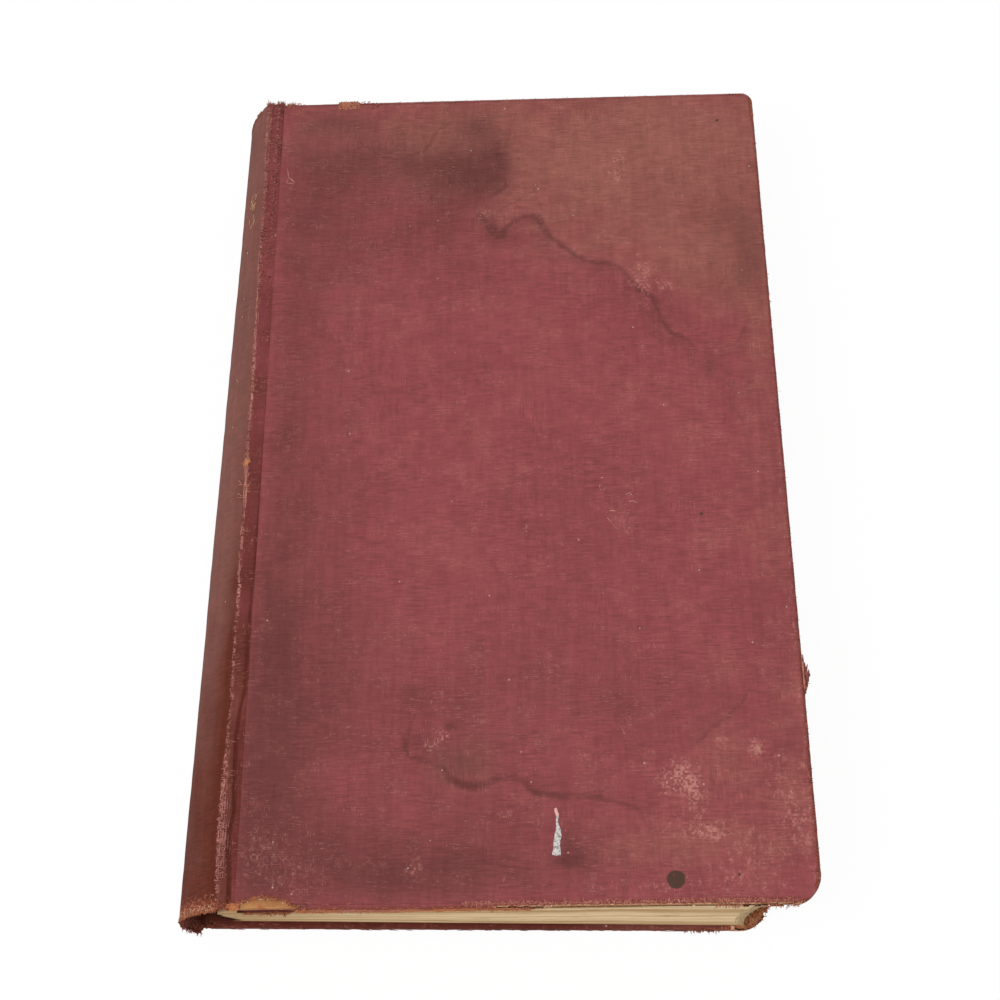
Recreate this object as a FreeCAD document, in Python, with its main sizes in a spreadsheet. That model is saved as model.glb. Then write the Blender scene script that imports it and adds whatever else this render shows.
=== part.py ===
import FreeCAD, Part
import math
import os
import Sketcher

# A cloth-bound hardback book, lying on its back cover, spine at -X, head at +Y, in millimetres.
# The origin is the middle of the bottom of the whole book's box.
os.makedirs("parts", exist_ok=True)
doc = FreeCAD.newDocument("hardback_book")
sheet = doc.addObject("Spreadsheet::Sheet", "Sizes")

# Sizes that drive the book: name, value, meaning
DRIVING = [
    ("cover_width", 123.0, "board with its cloth, spine edge to fore edge"),
    ("cover_height", 210.0, "board with its cloth, tail to head"),
    ("book_thickness", 25.0, "outside of one cover to outside of the other"),
    ("cloth_thickness", 0.4, "covering cloth with its glue"),
    ("board_thickness", 2.6, "pressed card board"),
    ("corner_tail", 6.5, "worn round of the fore edge corners at the tail"),
    ("corner_head", 3.0, "worn round of the fore edge corners at the head"),
    ("turn_in", 15.0, "cloth folded in over the boards and the spine"),
    ("paper_thickness", 0.2, "endpaper"),
    ("pastedown_margin", 3.5, "cloth left bare round the pastedown"),
    ("pastedown_spine_gap", 1.0, "pastedown's edge to the board's spine edge"),
    ("joint_width", 3.9, "cloth strip from the shoulder ridge to the board"),
    ("hinge_gap", 0.7, "crease between the joint strip and a cover"),
    ("leaf_gap", 0.3, "air between a pastedown and its flyleaf"),
    ("lean_tail", 8.7, "back cover's slip to -X at the tail"),
    ("lean_head", 5.4, "back cover's slip to -X at the head"),
    ("back_shift", 0.5, "back cover's slip to the head at its spine edge"),
    ("bulge_tail", 5.8, "spine's rise over the ridges' chord at the tail"),
    ("bulge_head", 4.2, "spine's rise over the ridges' chord at the head"),
    ("inlay_thickness", 0.6, "card strip that stiffens the spine"),
    ("page_width", 111.0, "leaves, back corner to fore edge"),
    ("page_height", 205.0, "leaves, tail to head"),
    ("tail_square", 1.1, "cover past the leaves at the tail"),
    ("block_left", 1.6, "front leaf's back corner from the front board's spine edge"),
    ("block_lean_tail", 4.2, "last leaf's slip to -X at the tail"),
    ("block_lean_head", 2.6, "last leaf's slip to -X at the head"),
    ("back_round", 5.4, "rise of the leaves' rounded back"),
    ("edge_hollow", 1.5, "hollow of the leaves' fore edge"),
    ("mull_thickness", 0.3, "open-weave cloth glued to the back"),
    ("mull_inset", 18.0, "leaves' ends to the mull's ends"),
    ("glue_thickness", 0.05, "glue under each layer on the leaves' back"),
    ("lining_thickness", 0.5, "two plies of paper glued over the mull"),
    ("lining_inset", 5.0, "leaves' ends to the lining's ends"),
]

# Sizes that follow from those above
DERIVED = [
    ("turn_sine", "(lean_tail - lean_head) / cover_height"),
    ("turn_cosine", "sqrt(1 - turn_sine * turn_sine)"),
    ("stack", "2 * cloth_thickness + board_thickness + paper_thickness"),
    ("block_bottom", "stack + leaf_gap + paper_thickness"),
    ("block_top", "book_thickness - block_bottom"),
    ("block_thickness", "block_top - block_bottom"),
    ("block_right", "block_left + page_width"),
    ("page_head", "tail_square + page_height"),
]
for end in ("tail", "head"):
    DERIVED += [
        (f"chord_{end}", f"sqrt(book_thickness ^ 2 + lean_{end} ^ 2)"),
        (f"spine_radius_{end}", f"(chord_{end} ^ 2 / 4 + bulge_{end} ^ 2) / (2 * bulge_{end})"),
        (f"spine_rise_{end}", f"(spine_radius_{end} - bulge_{end}) / chord_{end}"),
        (f"spine_x_{end}", f"spine_rise_{end} * book_thickness - joint_width - lean_{end} / 2"),
        (f"spine_z_{end}", f"book_thickness / 2 - spine_rise_{end} * lean_{end}"),
        (f"back_chord_{end}", f"sqrt(block_thickness ^ 2 + block_lean_{end} ^ 2)"),
        (f"back_radius_{end}", f"(back_chord_{end} ^ 2 / 4 + back_round ^ 2) / (2 * back_round)"),
        (f"back_rise_{end}", f"(back_radius_{end} - back_round) / back_chord_{end}"),
        (f"back_x_{end}", f"block_left - block_lean_{end} / 2 + back_rise_{end} * block_thickness"),
        (f"back_z_{end}", f"book_thickness / 2 - back_rise_{end} * block_lean_{end}"),
        (f"edge_radius_{end}", f"(back_chord_{end} ^ 2 / 4 + edge_hollow ^ 2) / (2 * edge_hollow)"),
    ]
DERIVED += [
    ("centre_x", "(cover_width + spine_x_tail - spine_radius_tail) / 2"),
    ("back_low", "back_shift - (cover_width - corner_tail) * turn_sine - corner_tail * (1 - turn_cosine)"),
    ("back_high", "back_shift + cover_height * turn_cosine"),
    ("centre_y", "(back_low + back_high) / 2"),
]

row = 1
for name, value, meaning in DRIVING:
    sheet.set(f"A{row}", name)
    sheet.set(f"B{row}", str(value))
    sheet.set(f"C{row}", meaning)
    sheet.setAlias(f"B{row}", name)
    row += 1
for name, formula in DERIVED:
    sheet.set(f"A{row}", name)
    sheet.set(f"B{row}", "=" + formula)
    sheet.setAlias(f"B{row}", name)
    row += 1
doc.recompute()
NAMES = {entry[0] for entry in DRIVING + DERIVED}


# Turns the plain size names in a formula into references to the sheet
def linked(formula):
    words = []
    word = ""
    for letter in formula + " ":
        if letter.isalnum() or letter == "_":
            word += letter
        else:
            words.append("Sizes." + word if word in NAMES else word)
            words.append(letter)
            word = ""
    return "".join(words).strip()


# Binds one property to a formula of the sheet's sizes
def bind(thing, prop, formula):
    thing.setExpression(prop, linked(formula))


# Draws a closed outline whose corners and arc radii follow the sheet. A corner is (x, y) or
# (x, y, radius, side): the edge that ends there is then an arc with its centre on that side.
def draw(sketch, corners):
    count = len(corners)
    points = []
    for corner in corners:
        across = float(sketch.evalExpression(linked(corner[0])))
        up = float(sketch.evalExpression(linked(corner[1])))
        points.append(FreeCAD.Vector(across, up, 0))
    first_end = []
    last_end = []
    for i in range(count):
        start = points[i - 1]
        end = points[i]
        if len(corners[i]) == 2:
            sketch.addGeometry(Part.LineSegment(start, end))
            first_end.append(1)
            last_end.append(2)
            continue
        radius = float(sketch.evalExpression(linked(corners[i][2])))
        side = corners[i][3]
        chord = end - start
        away = math.sqrt(radius ** 2 - chord.Length ** 2 / 4)
        normal = FreeCAD.Vector(-chord.y, chord.x, 0).normalize()
        centre = (start + end) / 2 + normal * (away * side)
        from_angle = math.atan2(start.y - centre.y, start.x - centre.x)
        to_angle = math.atan2(end.y - centre.y, end.x - centre.x)
        circle = Part.Circle(centre, FreeCAD.Vector(0, 0, 1), radius)
        if side > 0:
            sketch.addGeometry(Part.ArcOfCircle(circle, from_angle, to_angle))
        else:
            sketch.addGeometry(Part.ArcOfCircle(circle, to_angle, from_angle))
        first_end.append(1 if side > 0 else 2)
        last_end.append(2 if side > 0 else 1)
    for i in range(count):
        following = (i + 1) % count
        sketch.addConstraint(
            Sketcher.Constraint("Coincident", i, last_end[i], following, first_end[following]))
    for i in range(count):
        across = sketch.addConstraint(
            Sketcher.Constraint("DistanceX", -1, 1, i, last_end[i], points[i].x))
        bind(sketch, f"Constraints[{across}]", corners[i][0])
        up = sketch.addConstraint(
            Sketcher.Constraint("DistanceY", -1, 1, i, last_end[i], points[i].y))
        bind(sketch, f"Constraints[{up}]", corners[i][1])
        if len(corners[i]) == 4:
            turn = sketch.addConstraint(Sketcher.Constraint(
                "Radius", i, float(sketch.evalExpression(linked(corners[i][2])))))
            bind(sketch, f"Constraints[{turn}]", corners[i][2])


# A body whose own origin is the front board's tail corner at the spine, on the floor
def new_body(label):
    body = doc.addObject("PartDesign::Body", label)
    bind(body, "Placement.Base.x", "-centre_x")
    bind(body, "Placement.Base.y", "-centre_y")
    return body


# A flat plate added to a body, or cut out of it, from one height up to another
def plate(body, label, corners, low, high, cut=False):
    sketch = body.newObject("Sketcher::SketchObject", label + "_outline")
    ground = [plane for plane in body.Origin.OriginFeatures if plane.Role == "XY_Plane"][0]
    sketch.AttachmentSupport = [(ground, "")]
    sketch.MapMode = "FlatFace"
    bind(sketch, "AttachmentOffset.Base.z", low)
    draw(sketch, corners)
    feature = body.newObject("PartDesign::Pocket" if cut else "PartDesign::Pad", label)
    feature.Profile = sketch
    feature.Type = "Length"
    feature.Reversed = cut
    bind(feature, "Length", f"({high}) - ({low})")
    doc.recompute()
    return feature


# A leaning solid between a section at the tail and the same section at the head
def leaning(label, section, tail_y, head_y):
    sections = []
    for end, station in (("tail", tail_y), ("head", head_y)):
        sketch = doc.addObject("Sketcher::SketchObject", f"{label}_{end}_section")
        upright = FreeCAD.Rotation(FreeCAD.Vector(1, 0, 0), 90)
        sketch.Placement = FreeCAD.Placement(FreeCAD.Vector(0, 0, 0), upright)
        bind(sketch, "Placement.Base.x", "-centre_x")
        bind(sketch, "Placement.Base.y", f"({station}) - centre_y")
        draw(sketch, section(end))
        sections.append(sketch)
    doc.recompute()
    loft = doc.addObject("Part::Loft", label)
    loft.Sections = sections
    loft.Solid = True
    loft.Ruled = True
    doc.recompute()
    return loft


# A box as wide and high as the book, with some room, between two stations along it
def slab(label, tail_y, head_y):
    box = doc.addObject("Part::Box", label)
    bind(box, "Length", "2 * cover_width")
    bind(box, "Width", f"({head_y}) - ({tail_y})")
    bind(box, "Height", "3 * book_thickness")
    bind(box, "Placement.Base.x", "-cover_width")
    bind(box, "Placement.Base.y", f"({tail_y}) - centre_y")
    bind(box, "Placement.Base.z", "-book_thickness")
    return box


def common(label, base, tool):
    shared = doc.addObject("Part::Common", label)
    shared.Base = base
    shared.Tool = tool
    doc.recompute()
    return shared


def cut(label, base, tool):
    rest = doc.addObject("Part::Cut", label)
    rest.Base = base
    rest.Tool = tool
    doc.recompute()
    return rest


# Where a circle about a section's centre meets a height, on the spine's side
def on_arc(kind, end, radius, height):
    return f"{kind}_x_{end} - sqrt(({radius}) ^ 2 - (({height}) - {kind}_z_{end}) ^ 2)"


# Text block: all the leaves, sewn, with a rounded back, leaning with the slipped case
def block_section(end):
    return [
        ("block_left", "block_top", f"back_radius_{end}", -1),
        ("block_right", "block_top"),
        (f"block_right - block_lean_{end}", "block_bottom", f"edge_radius_{end}", 1),
        (f"block_left - block_lean_{end}", "block_bottom"),
    ]


text_block = leaning("text_block", block_section, "tail_square", "page_head")


# A curved layer between two radii about the same centre, cut off flat at two heights
def layer_section(kind, end, outer_radius, inner_radius, low, high):
    return [
        (on_arc(kind, end, outer_radius, high), high),
        (on_arc(kind, end, outer_radius, low), low, outer_radius, 1),
        (on_arc(kind, end, inner_radius, low), low),
        (on_arc(kind, end, inner_radius, high), high, inner_radius, -1),
    ]


# Mull and paper lining, glued one over the other round the back of the leaves
def back_layer(inner, outer):
    def section(end):
        outer_radius = f"back_radius_{end} + {outer}"
        inner_radius = f"back_radius_{end} + {inner}"
        return layer_section("back", end, outer_radius, inner_radius, "block_bottom", "block_top")
    return section


MULL_OUTSIDE = "glue_thickness + mull_thickness"

mull_sweep = leaning(
    "mull_sweep", back_layer("glue_thickness", MULL_OUTSIDE), "tail_square", "page_head")
mull_span = slab("mull_span", "tail_square + mull_inset", "page_head - mull_inset")
mull = common("mull", mull_sweep, mull_span)

lining_sweep = leaning(
    "lining_sweep",
    back_layer(f"{MULL_OUTSIDE} + glue_thickness", f"{MULL_OUTSIDE} + glue_thickness + lining_thickness"),
    "tail_square", "page_head")
lining_span = slab("lining_span", "tail_square + lining_inset", "page_head - lining_inset")
spine_lining = common("spine_lining", lining_sweep, lining_span)

# Flyleaves: the free halves of the endpapers, tipped to the first and last leaves
front_flyleaf = new_body("front_flyleaf")
plate(front_flyleaf, "front_flyleaf_sheet", [
    ("block_left", "tail_square"),
    ("block_right", "tail_square"),
    ("block_right", "page_head"),
    ("block_left", "page_head"),
], "block_top", "block_top + paper_thickness")

back_flyleaf = new_body("back_flyleaf")
plate(back_flyleaf, "back_flyleaf_sheet", [
    ("block_left - block_lean_tail", "tail_square"),
    ("block_right - block_lean_tail", "tail_square"),
    ("block_right - block_lean_head", "page_head"),
    ("block_left - block_lean_head", "page_head"),
], "block_bottom - paper_thickness", "block_bottom")


# Spine of the case: a layer between two depths under the cloth's outer face
def spine_layer(outer, inner):
    def section(end):
        outer_radius = f"spine_radius_{end} - ({outer})"
        inner_radius = f"spine_radius_{end} - ({inner})"
        high = "book_thickness - cloth_thickness"
        return layer_section("spine", end, outer_radius, inner_radius, "cloth_thickness", high)
    return section


FOLDED = "2 * cloth_thickness + inlay_thickness"


def case_section(end):
    inner_radius = f"spine_radius_{end} - ({FOLDED})"
    high = "book_thickness - cloth_thickness"
    return [
        ("-hinge_gap", "book_thickness"),
        ("-joint_width", "book_thickness"),
        (f"-joint_width - lean_{end}", "0", f"spine_radius_{end}", 1),
        (f"-hinge_gap - lean_{end}", "0"),
        (f"-hinge_gap - lean_{end}", "cloth_thickness"),
        (on_arc("spine", end, inner_radius, "cloth_thickness"), "cloth_thickness"),
        (on_arc("spine", end, inner_radius, high), high, inner_radius, -1),
        ("-hinge_gap", high),
    ]


# Spine inlay: the card strip glued inside the cloth, from ridge to ridge
inlay_sweep = leaning(
    "inlay_sweep",
    spine_layer("cloth_thickness", "cloth_thickness + inlay_thickness"),
    "0", "cover_height")
inlay_span = slab("inlay_span", "cloth_thickness", "cover_height - cloth_thickness")
spine_inlay = common("spine_inlay", inlay_sweep, inlay_span)

# Spine cloth: over the inlay, out along both joints and folded in over the inlay's ends
case_sweep = leaning("case_sweep", case_section, "0", "cover_height")
fold_sweep = leaning(
    "fold_sweep",
    spine_layer("cloth_thickness + inlay_thickness", FOLDED + " + cloth_thickness"),
    "0", "cover_height")
fold_span = slab("fold_span", "turn_in", "cover_height - turn_in")
fold_window = common("fold_window", fold_sweep, fold_span)
cloth_round_inlay = cut("cloth_round_inlay", case_sweep, spine_inlay)
spine_cloth = cut("spine_cloth", cloth_round_inlay, fold_window)


# Outline of a board, or of anything held in from its edges, with its fore edge corners round
def board_outline(inset, spine_x, rounded=True):
    right = f"cover_width - ({inset})"
    low = f"{inset}"
    high = f"cover_height - ({inset})"
    if not rounded:
        return [(spine_x, low), (right, low), (right, high), (spine_x, high)]
    tail_round = f"corner_tail - ({inset})"
    head_round = f"corner_head - ({inset})"
    return [
        (spine_x, low),
        ("cover_width - corner_tail", low),
        (right, "corner_tail", tail_round, 1),
        (right, "cover_height - corner_head"),
        ("cover_width - corner_head", high, head_round, 1),
        (spine_x, high),
    ]


# One cover: board, cloth wrapped round three of its edges, and the pastedown over the turn-ins.
# Heights are counted from the cover's outer face inwards, up for the back and down for the front.
def cover(side):
    front = side == "front"

    def span(near, far):
        if front:
            return f"book_thickness - ({far})", f"book_thickness - ({near})"
        return near, far

    board_near = "cloth_thickness"
    board_far = "cloth_thickness + board_thickness"
    fold_far = "2 * cloth_thickness + board_thickness"
    bodies = []

    board = new_body(side + "_board")
    low, high = span(board_near, board_far)
    plate(board, side + "_board_plate", board_outline("cloth_thickness", "0"), low, high)
    bodies.append(board)

    cloth = new_body(side + "_cloth")
    low, high = span("0", fold_far)
    plate(cloth, side + "_cloth_wrap", board_outline("0", "0"), low, high)
    low, high = span(board_near, board_far)
    plate(cloth, side + "_cloth_board_room", board_outline("cloth_thickness", "-turn_in"), low, high, True)
    low, high = span(board_far, fold_far)
    plate(cloth, side + "_cloth_window", board_outline("turn_in", "-turn_in", False), low, high, True)
    bodies.append(cloth)

    pastedown = new_body(side + "_pastedown")
    low, high = span(fold_far, "stack")
    sheet_edge = board_outline("pastedown_margin", "pastedown_spine_gap", False)
    plate(pastedown, side + "_pastedown_sheet", sheet_edge, low, high)
    low, high = span(board_far, fold_far)
    sunk_edge = board_outline("turn_in", "pastedown_spine_gap", False)
    plate(pastedown, side + "_pastedown_sunk", sunk_edge, low, high)
    low, high = span(board_far + " + paper_thickness", "stack")
    step_edge = board_outline("turn_in + paper_thickness", "pastedown_spine_gap - turn_in", False)
    plate(pastedown, side + "_pastedown_step", step_edge, low, high, True)
    bodies.append(pastedown)

    if not front:
        for body in bodies:
            body.Placement.Rotation = FreeCAD.Rotation(FreeCAD.Vector(0, 0, -1), 1)
            bind(body, "Placement.Rotation.Angle", "asin(turn_sine)")
            bind(body, "Placement.Base.x", "-centre_x - lean_tail")
            bind(body, "Placement.Base.y", "back_shift - centre_y")
    doc.recompute()
    return bodies


covers = cover("front") + cover("back")

finished = [text_block, mull, spine_lining, front_flyleaf, back_flyleaf, spine_inlay, spine_cloth]
finished += covers
doc.recompute()

# Nothing is written unless every feature and every finished solid is sound
for thing in doc.Objects:
    state = " ".join(thing.State)
    if "Invalid" in state or "Error" in state:
        raise RuntimeError(f"{thing.Label} did not build: {state}")
for thing in finished:
    shape = thing.Shape
    if shape.isNull() or not shape.isValid() or len(shape.Solids) != 1:
        raise RuntimeError(f"{thing.Label} is not one sound solid")
for thing in finished:
    thing.Shape.exportStep(f"parts/{thing.Label}.step")
    box = thing.Shape.BoundBox
    print(f"{thing.Label:16s} {thing.Shape.Volume:10.1f} mm3  "
          f"x {box.XMin:8.2f} {box.XMax:8.2f}  y {box.YMin:8.2f} {box.YMax:8.2f}  "
          f"z {box.ZMin:6.2f} {box.ZMax:6.2f}")
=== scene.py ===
import math

import bmesh
import bpy
import numpy as np
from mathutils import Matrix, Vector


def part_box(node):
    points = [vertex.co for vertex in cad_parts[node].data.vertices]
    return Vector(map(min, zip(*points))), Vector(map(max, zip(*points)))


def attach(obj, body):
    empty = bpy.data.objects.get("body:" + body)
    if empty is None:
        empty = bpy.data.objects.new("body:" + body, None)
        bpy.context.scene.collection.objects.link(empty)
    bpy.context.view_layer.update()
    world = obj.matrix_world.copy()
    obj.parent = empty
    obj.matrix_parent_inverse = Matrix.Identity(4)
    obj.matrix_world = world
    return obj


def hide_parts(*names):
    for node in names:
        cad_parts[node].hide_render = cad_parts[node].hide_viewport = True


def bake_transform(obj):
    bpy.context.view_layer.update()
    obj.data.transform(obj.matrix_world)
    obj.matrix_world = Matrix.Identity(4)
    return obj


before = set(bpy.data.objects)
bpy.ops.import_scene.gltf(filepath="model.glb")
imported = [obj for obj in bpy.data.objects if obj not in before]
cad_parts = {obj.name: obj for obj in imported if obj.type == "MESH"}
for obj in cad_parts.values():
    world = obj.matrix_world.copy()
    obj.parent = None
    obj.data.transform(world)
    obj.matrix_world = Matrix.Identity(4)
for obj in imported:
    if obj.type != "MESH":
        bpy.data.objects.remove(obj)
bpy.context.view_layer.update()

# The view: the book lies with its tail towards the camera, which looks down on the front cover
# from a little to the right of the middle.
camera_data = bpy.data.cameras.new("camera")
camera_data.sensor_width = 36.0
camera_data.lens = 57.6
camera = bpy.data.objects.new("camera", camera_data)
camera.location = (0.01291, -0.16761, 0.36247)
camera.rotation_euler = (math.radians(24.852), math.radians(1.967), math.radians(-0.326))
bpy.context.scene.collection.objects.link(camera)
bpy.context.scene.camera = camera


# The leaves: some three hundred printed leaves in sewn gatherings, trimmed together and rounded at
# the back. The block has slipped: its back cover side lies further out to the spine than the front.
# Lengths are millimetres from the tail corner of the front board at the spine, heights from the floor.
MM = 0.001
board_corner, board_far_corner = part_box("front_cloth")
CORNER_X = board_corner.x / MM
CORNER_Y = board_corner.y / MM
COVER_WIDTH = (board_far_corner.x - board_corner.x) / MM
COVER_HEIGHT = (board_far_corner.y - board_corner.y) / MM
BOOK_THICKNESS = board_far_corner.z / MM
block_low, block_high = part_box("text_block")
LEAF_TAIL = block_low.y / MM - CORNER_Y
LEAF_HEAD = block_high.y / MM - CORNER_Y
LEAF_FORE = block_high.x / MM - CORNER_X
LEAF_BACK = 1.6
BLOCK_BOTTOM = block_low.z / MM
BLOCK_TOP = block_high.z / MM
BLOCK_LEAN_TAIL = 4.2
BLOCK_LEAN_HEAD = 2.6
BACK_ROUND = 5.4
EDGE_HOLLOW = 1.5
LEAF_GROUPS = 62
LEAVES_IN_GATHERING = 6
LEAF_SLIP = 0.55
LEAF_TURN = 0.0202


def to_frame(points):
    moved = np.array(points, float)
    moved[..., 0] += CORNER_X
    moved[..., 1] += CORNER_Y
    return moved * MM


# Soft random height from -1 to 1, with patches of about the given size
def patchy(across, along, size, seed):
    table = np.random.default_rng(seed).uniform(-1, 1, (128, 128))
    u = np.asarray(across, float) / size + 500.0
    v = np.asarray(along, float) / size + 500.0
    left = np.floor(u).astype(int)
    low = np.floor(v).astype(int)
    fu = u - left
    fv = v - low
    fu = fu * fu * (3 - 2 * fu)
    fv = fv * fv * (3 - 2 * fv)

    def at(du, dv):
        return table[(left + du) % 128, (low + dv) % 128]

    near = at(0, 0) * (1 - fu) + at(1, 0) * fu
    far = at(0, 1) * (1 - fu) + at(1, 1) * fu
    return near * (1 - fv) + far * fv


# Where an arc over the chord from its low to its high end stands, out towards the spine
def arc_x(x_low, z_low, x_high, z_high, rise, height):
    chord = np.hypot(x_high - x_low, z_high - z_low)
    radius = (chord ** 2 / 4 + rise ** 2) / (2 * rise)
    inward = (radius - rise) / chord
    centre_x = (x_low + x_high) / 2 + (z_high - z_low) * inward
    centre_z = (z_low + z_high) / 2 - (x_high - x_low) * inward
    return centre_x - np.sqrt(radius ** 2 - (height - centre_z) ** 2)


# Stands for far away where a length from a line or a spot is kept
FAR = 50.0


# One mesh of grids of points. A grid is a dictionary: points, place (lengths along the material),
# and where it matters wear, tide and keep, the faces that are still there.
def join_grids(name, grids, flip=False, lip=0.0):
    points = []
    places = []
    wears = []
    tides = []
    faces = []
    for grid in grids:
        rows, columns = grid["points"].shape[:2]
        first = sum(len(part) for part in points)
        points.append(grid["points"].reshape(-1, 3))
        places.append(grid.get("place", grid["points"]).reshape(-1, 3))
        wears.append(grid.get("wear", np.zeros((rows, columns, 4))).reshape(-1, 4))
        tides.append(grid.get("tide", np.full((rows, columns, 3), FAR)).reshape(-1, 3))
        number = first + np.arange(rows * columns).reshape(rows, columns)
        quads = np.stack([number[:-1, :-1], number[:-1, 1:], number[1:, 1:], number[1:, :-1]], -1)
        if "keep" in grid:
            quads = quads[grid["keep"]]
        quads = quads.reshape(-1, 4)
        if grid.get("turned", False) != flip:
            quads = quads[:, ::-1]
        faces.append(quads)
    mesh = bpy.data.meshes.new(name)
    mesh.from_pydata(to_frame(np.concatenate(points)).tolist(), [], np.concatenate(faces).tolist())
    for title, kind, prop, rows in (
        ("place", "FLOAT_VECTOR", "vector", places),
        ("wear", "FLOAT_COLOR", "color", wears),
        ("tide", "FLOAT_VECTOR", "vector", tides),
    ):
        layer = mesh.attributes.new(title, kind, "POINT")
        layer.data.foreach_set(prop, np.concatenate(rows).astype(np.float32).ravel())
    body = bmesh.new()
    body.from_mesh(mesh)
    bmesh.ops.remove_doubles(body, verts=body.verts, dist=1e-6)
    loose = [vert for vert in body.verts if not vert.link_faces]
    bmesh.ops.delete(body, geom=loose, context="VERTS")
    if lip:
        body.normal_update()
        rim = [edge for edge in body.edges if edge.is_boundary]
        inward = {vert.index: -vert.normal * lip * MM for edge in rim for vert in edge.verts}
        made = bmesh.ops.extrude_edge_only(body, edges=rim)
        for item in made["geom"]:
            if isinstance(item, bmesh.types.BMEdge):
                continue
            if isinstance(item, bmesh.types.BMVert):
                nearest = [edge.other_vert(item) for edge in item.link_edges]
                for other in nearest:
                    if other.index in inward and (other.co - item.co).length < 1e-9:
                        item.co += inward[other.index]
                        break
    for face in body.faces:
        face.smooth = True
    body.to_mesh(mesh)
    body.free()
    piece = bpy.data.objects.new(name, mesh)
    bpy.context.scene.collection.objects.link(piece)
    return piece


# Fills the flat ends of a block that was made as a pile of rings. Ends with a ragged outline are cut
# into triangles.
def close_ends(piece, ragged=False):
    body = bmesh.new()
    body.from_mesh(piece.data)
    bmesh.ops.holes_fill(body, edges=[edge for edge in body.edges if edge.is_boundary], sides=0)
    if ragged:
        bmesh.ops.triangulate(body, faces=[face for face in body.faces if len(face.verts) > 4])
        bmesh.ops.recalc_face_normals(body, faces=body.faces)
    body.to_mesh(piece.data)
    body.free()
    return piece


# A material, written down node by node in the order in which the finish comes about
class Finish:
    def __init__(self, name):
        self.material = bpy.data.materials.new(name)
        self.material.use_nodes = True
        self.tree = self.material.node_tree
        self.shader = self.tree.nodes["Principled BSDF"]

    def node(self, kind, inputs, **settings):
        made = self.tree.nodes.new(kind)
        for setting, value in settings.items():
            setattr(made, setting, value)
        for socket, value in inputs.items():
            if isinstance(value, bpy.types.NodeSocket):
                self.tree.links.new(value, made.inputs[socket])
            else:
                made.inputs[socket].default_value = value
        return made

    def stored(self, title):
        return self.node("ShaderNodeAttribute", {}, attribute_name=title)

    # Place on a node that stays as constructed, in millimetres
    def solid_place(self):
        place = self.node("ShaderNodeTexCoord", {}).outputs["Object"]
        made = self.node("ShaderNodeVectorMath", {0: place, 1: (1000, 1000, 1000)}, operation="MULTIPLY")
        return made.outputs[0]

    def split(self, vector):
        return self.node("ShaderNodeSeparateXYZ", {0: vector}).outputs

    def sum(self, operation, first, second=0.0, third=0.0):
        made = self.node("ShaderNodeMath", {0: first, 1: second, 2: third}, operation=operation)
        return made.outputs[0]

    def times(self, first, second):
        return self.sum("MULTIPLY", first, second)

    # A value moved up and down by a noise, whose middle is a half
    def sway(self, noise, amount, value):
        return self.sum("MULTIPLY_ADD", self.sum("SUBTRACT", noise, 0.5), amount, value)

    # A value turned from one range to another with soft ends
    def steps(self, value, low, high, to_low=0.0, to_high=1.0):
        made = self.node("ShaderNodeMapRange", {
            "Value": value, "From Min": low, "From Max": high, "To Min": to_low, "To Max": to_high,
        }, interpolation_type="SMOOTHSTEP")
        return made.outputs[0]

    def mixed(self, share, first, second, how="MIX"):
        made = self.node("ShaderNodeMix", {0: share, 6: first, 7: second}, data_type="RGBA", blend_type=how)
        return made.outputs[2]

    # Lays a tint over a colour where a value rises from low to high
    def stain(self, colour, value, low, high, tint, strength=1.0):
        return self.mixed(self.steps(value, low, high, 0.0, strength), colour, tint)

    # Noise from 0 to 1 whose patches have the given length each way, in millimetres
    def grain(self, where, sizes, detail=2.0, roughness=0.55):
        scaled = self.node("ShaderNodeVectorMath", {
            0: where, 1: tuple(1.0 / size for size in sizes),
        }, operation="MULTIPLY").outputs[0]
        made = self.node("ShaderNodeTexNoise", {
            "Vector": scaled, "Scale": 1.0, "Detail": detail, "Roughness": roughness,
        })
        return made.outputs[0]

    # One random value for each thread crossing, a rectangle of the given size
    def each_thread(self, where, sizes):
        crossing = self.node("ShaderNodeVectorMath", {0: where, 1: sizes}, operation="SNAP").outputs[0]
        return self.node("ShaderNodeTexWhiteNoise", {"Vector": crossing}).outputs["Value"]

    def bump(self, height, depth, under=None):
        inputs = {"Height": height, "Distance": depth * MM, "Strength": 1.0}
        if under is not None:
            inputs["Normal"] = under
        return self.node("ShaderNodeBump", inputs).outputs[0]

    def lay_on(self, colour, roughness, normal=None, gloss=0.5):
        self.shader.inputs["Specular IOR Level"].default_value = gloss
        self.tree.links.new(colour, self.shader.inputs["Base Color"])
        if isinstance(roughness, bpy.types.NodeSocket):
            self.tree.links.new(roughness, self.shader.inputs["Roughness"])
        else:
            self.shader.inputs["Roughness"].default_value = roughness
        if normal is not None:
            self.tree.links.new(normal, self.shader.inputs["Normal"])
        return self.material


def rgb(red, green, blue):
    return (red, green, blue, 1.0)


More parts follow.
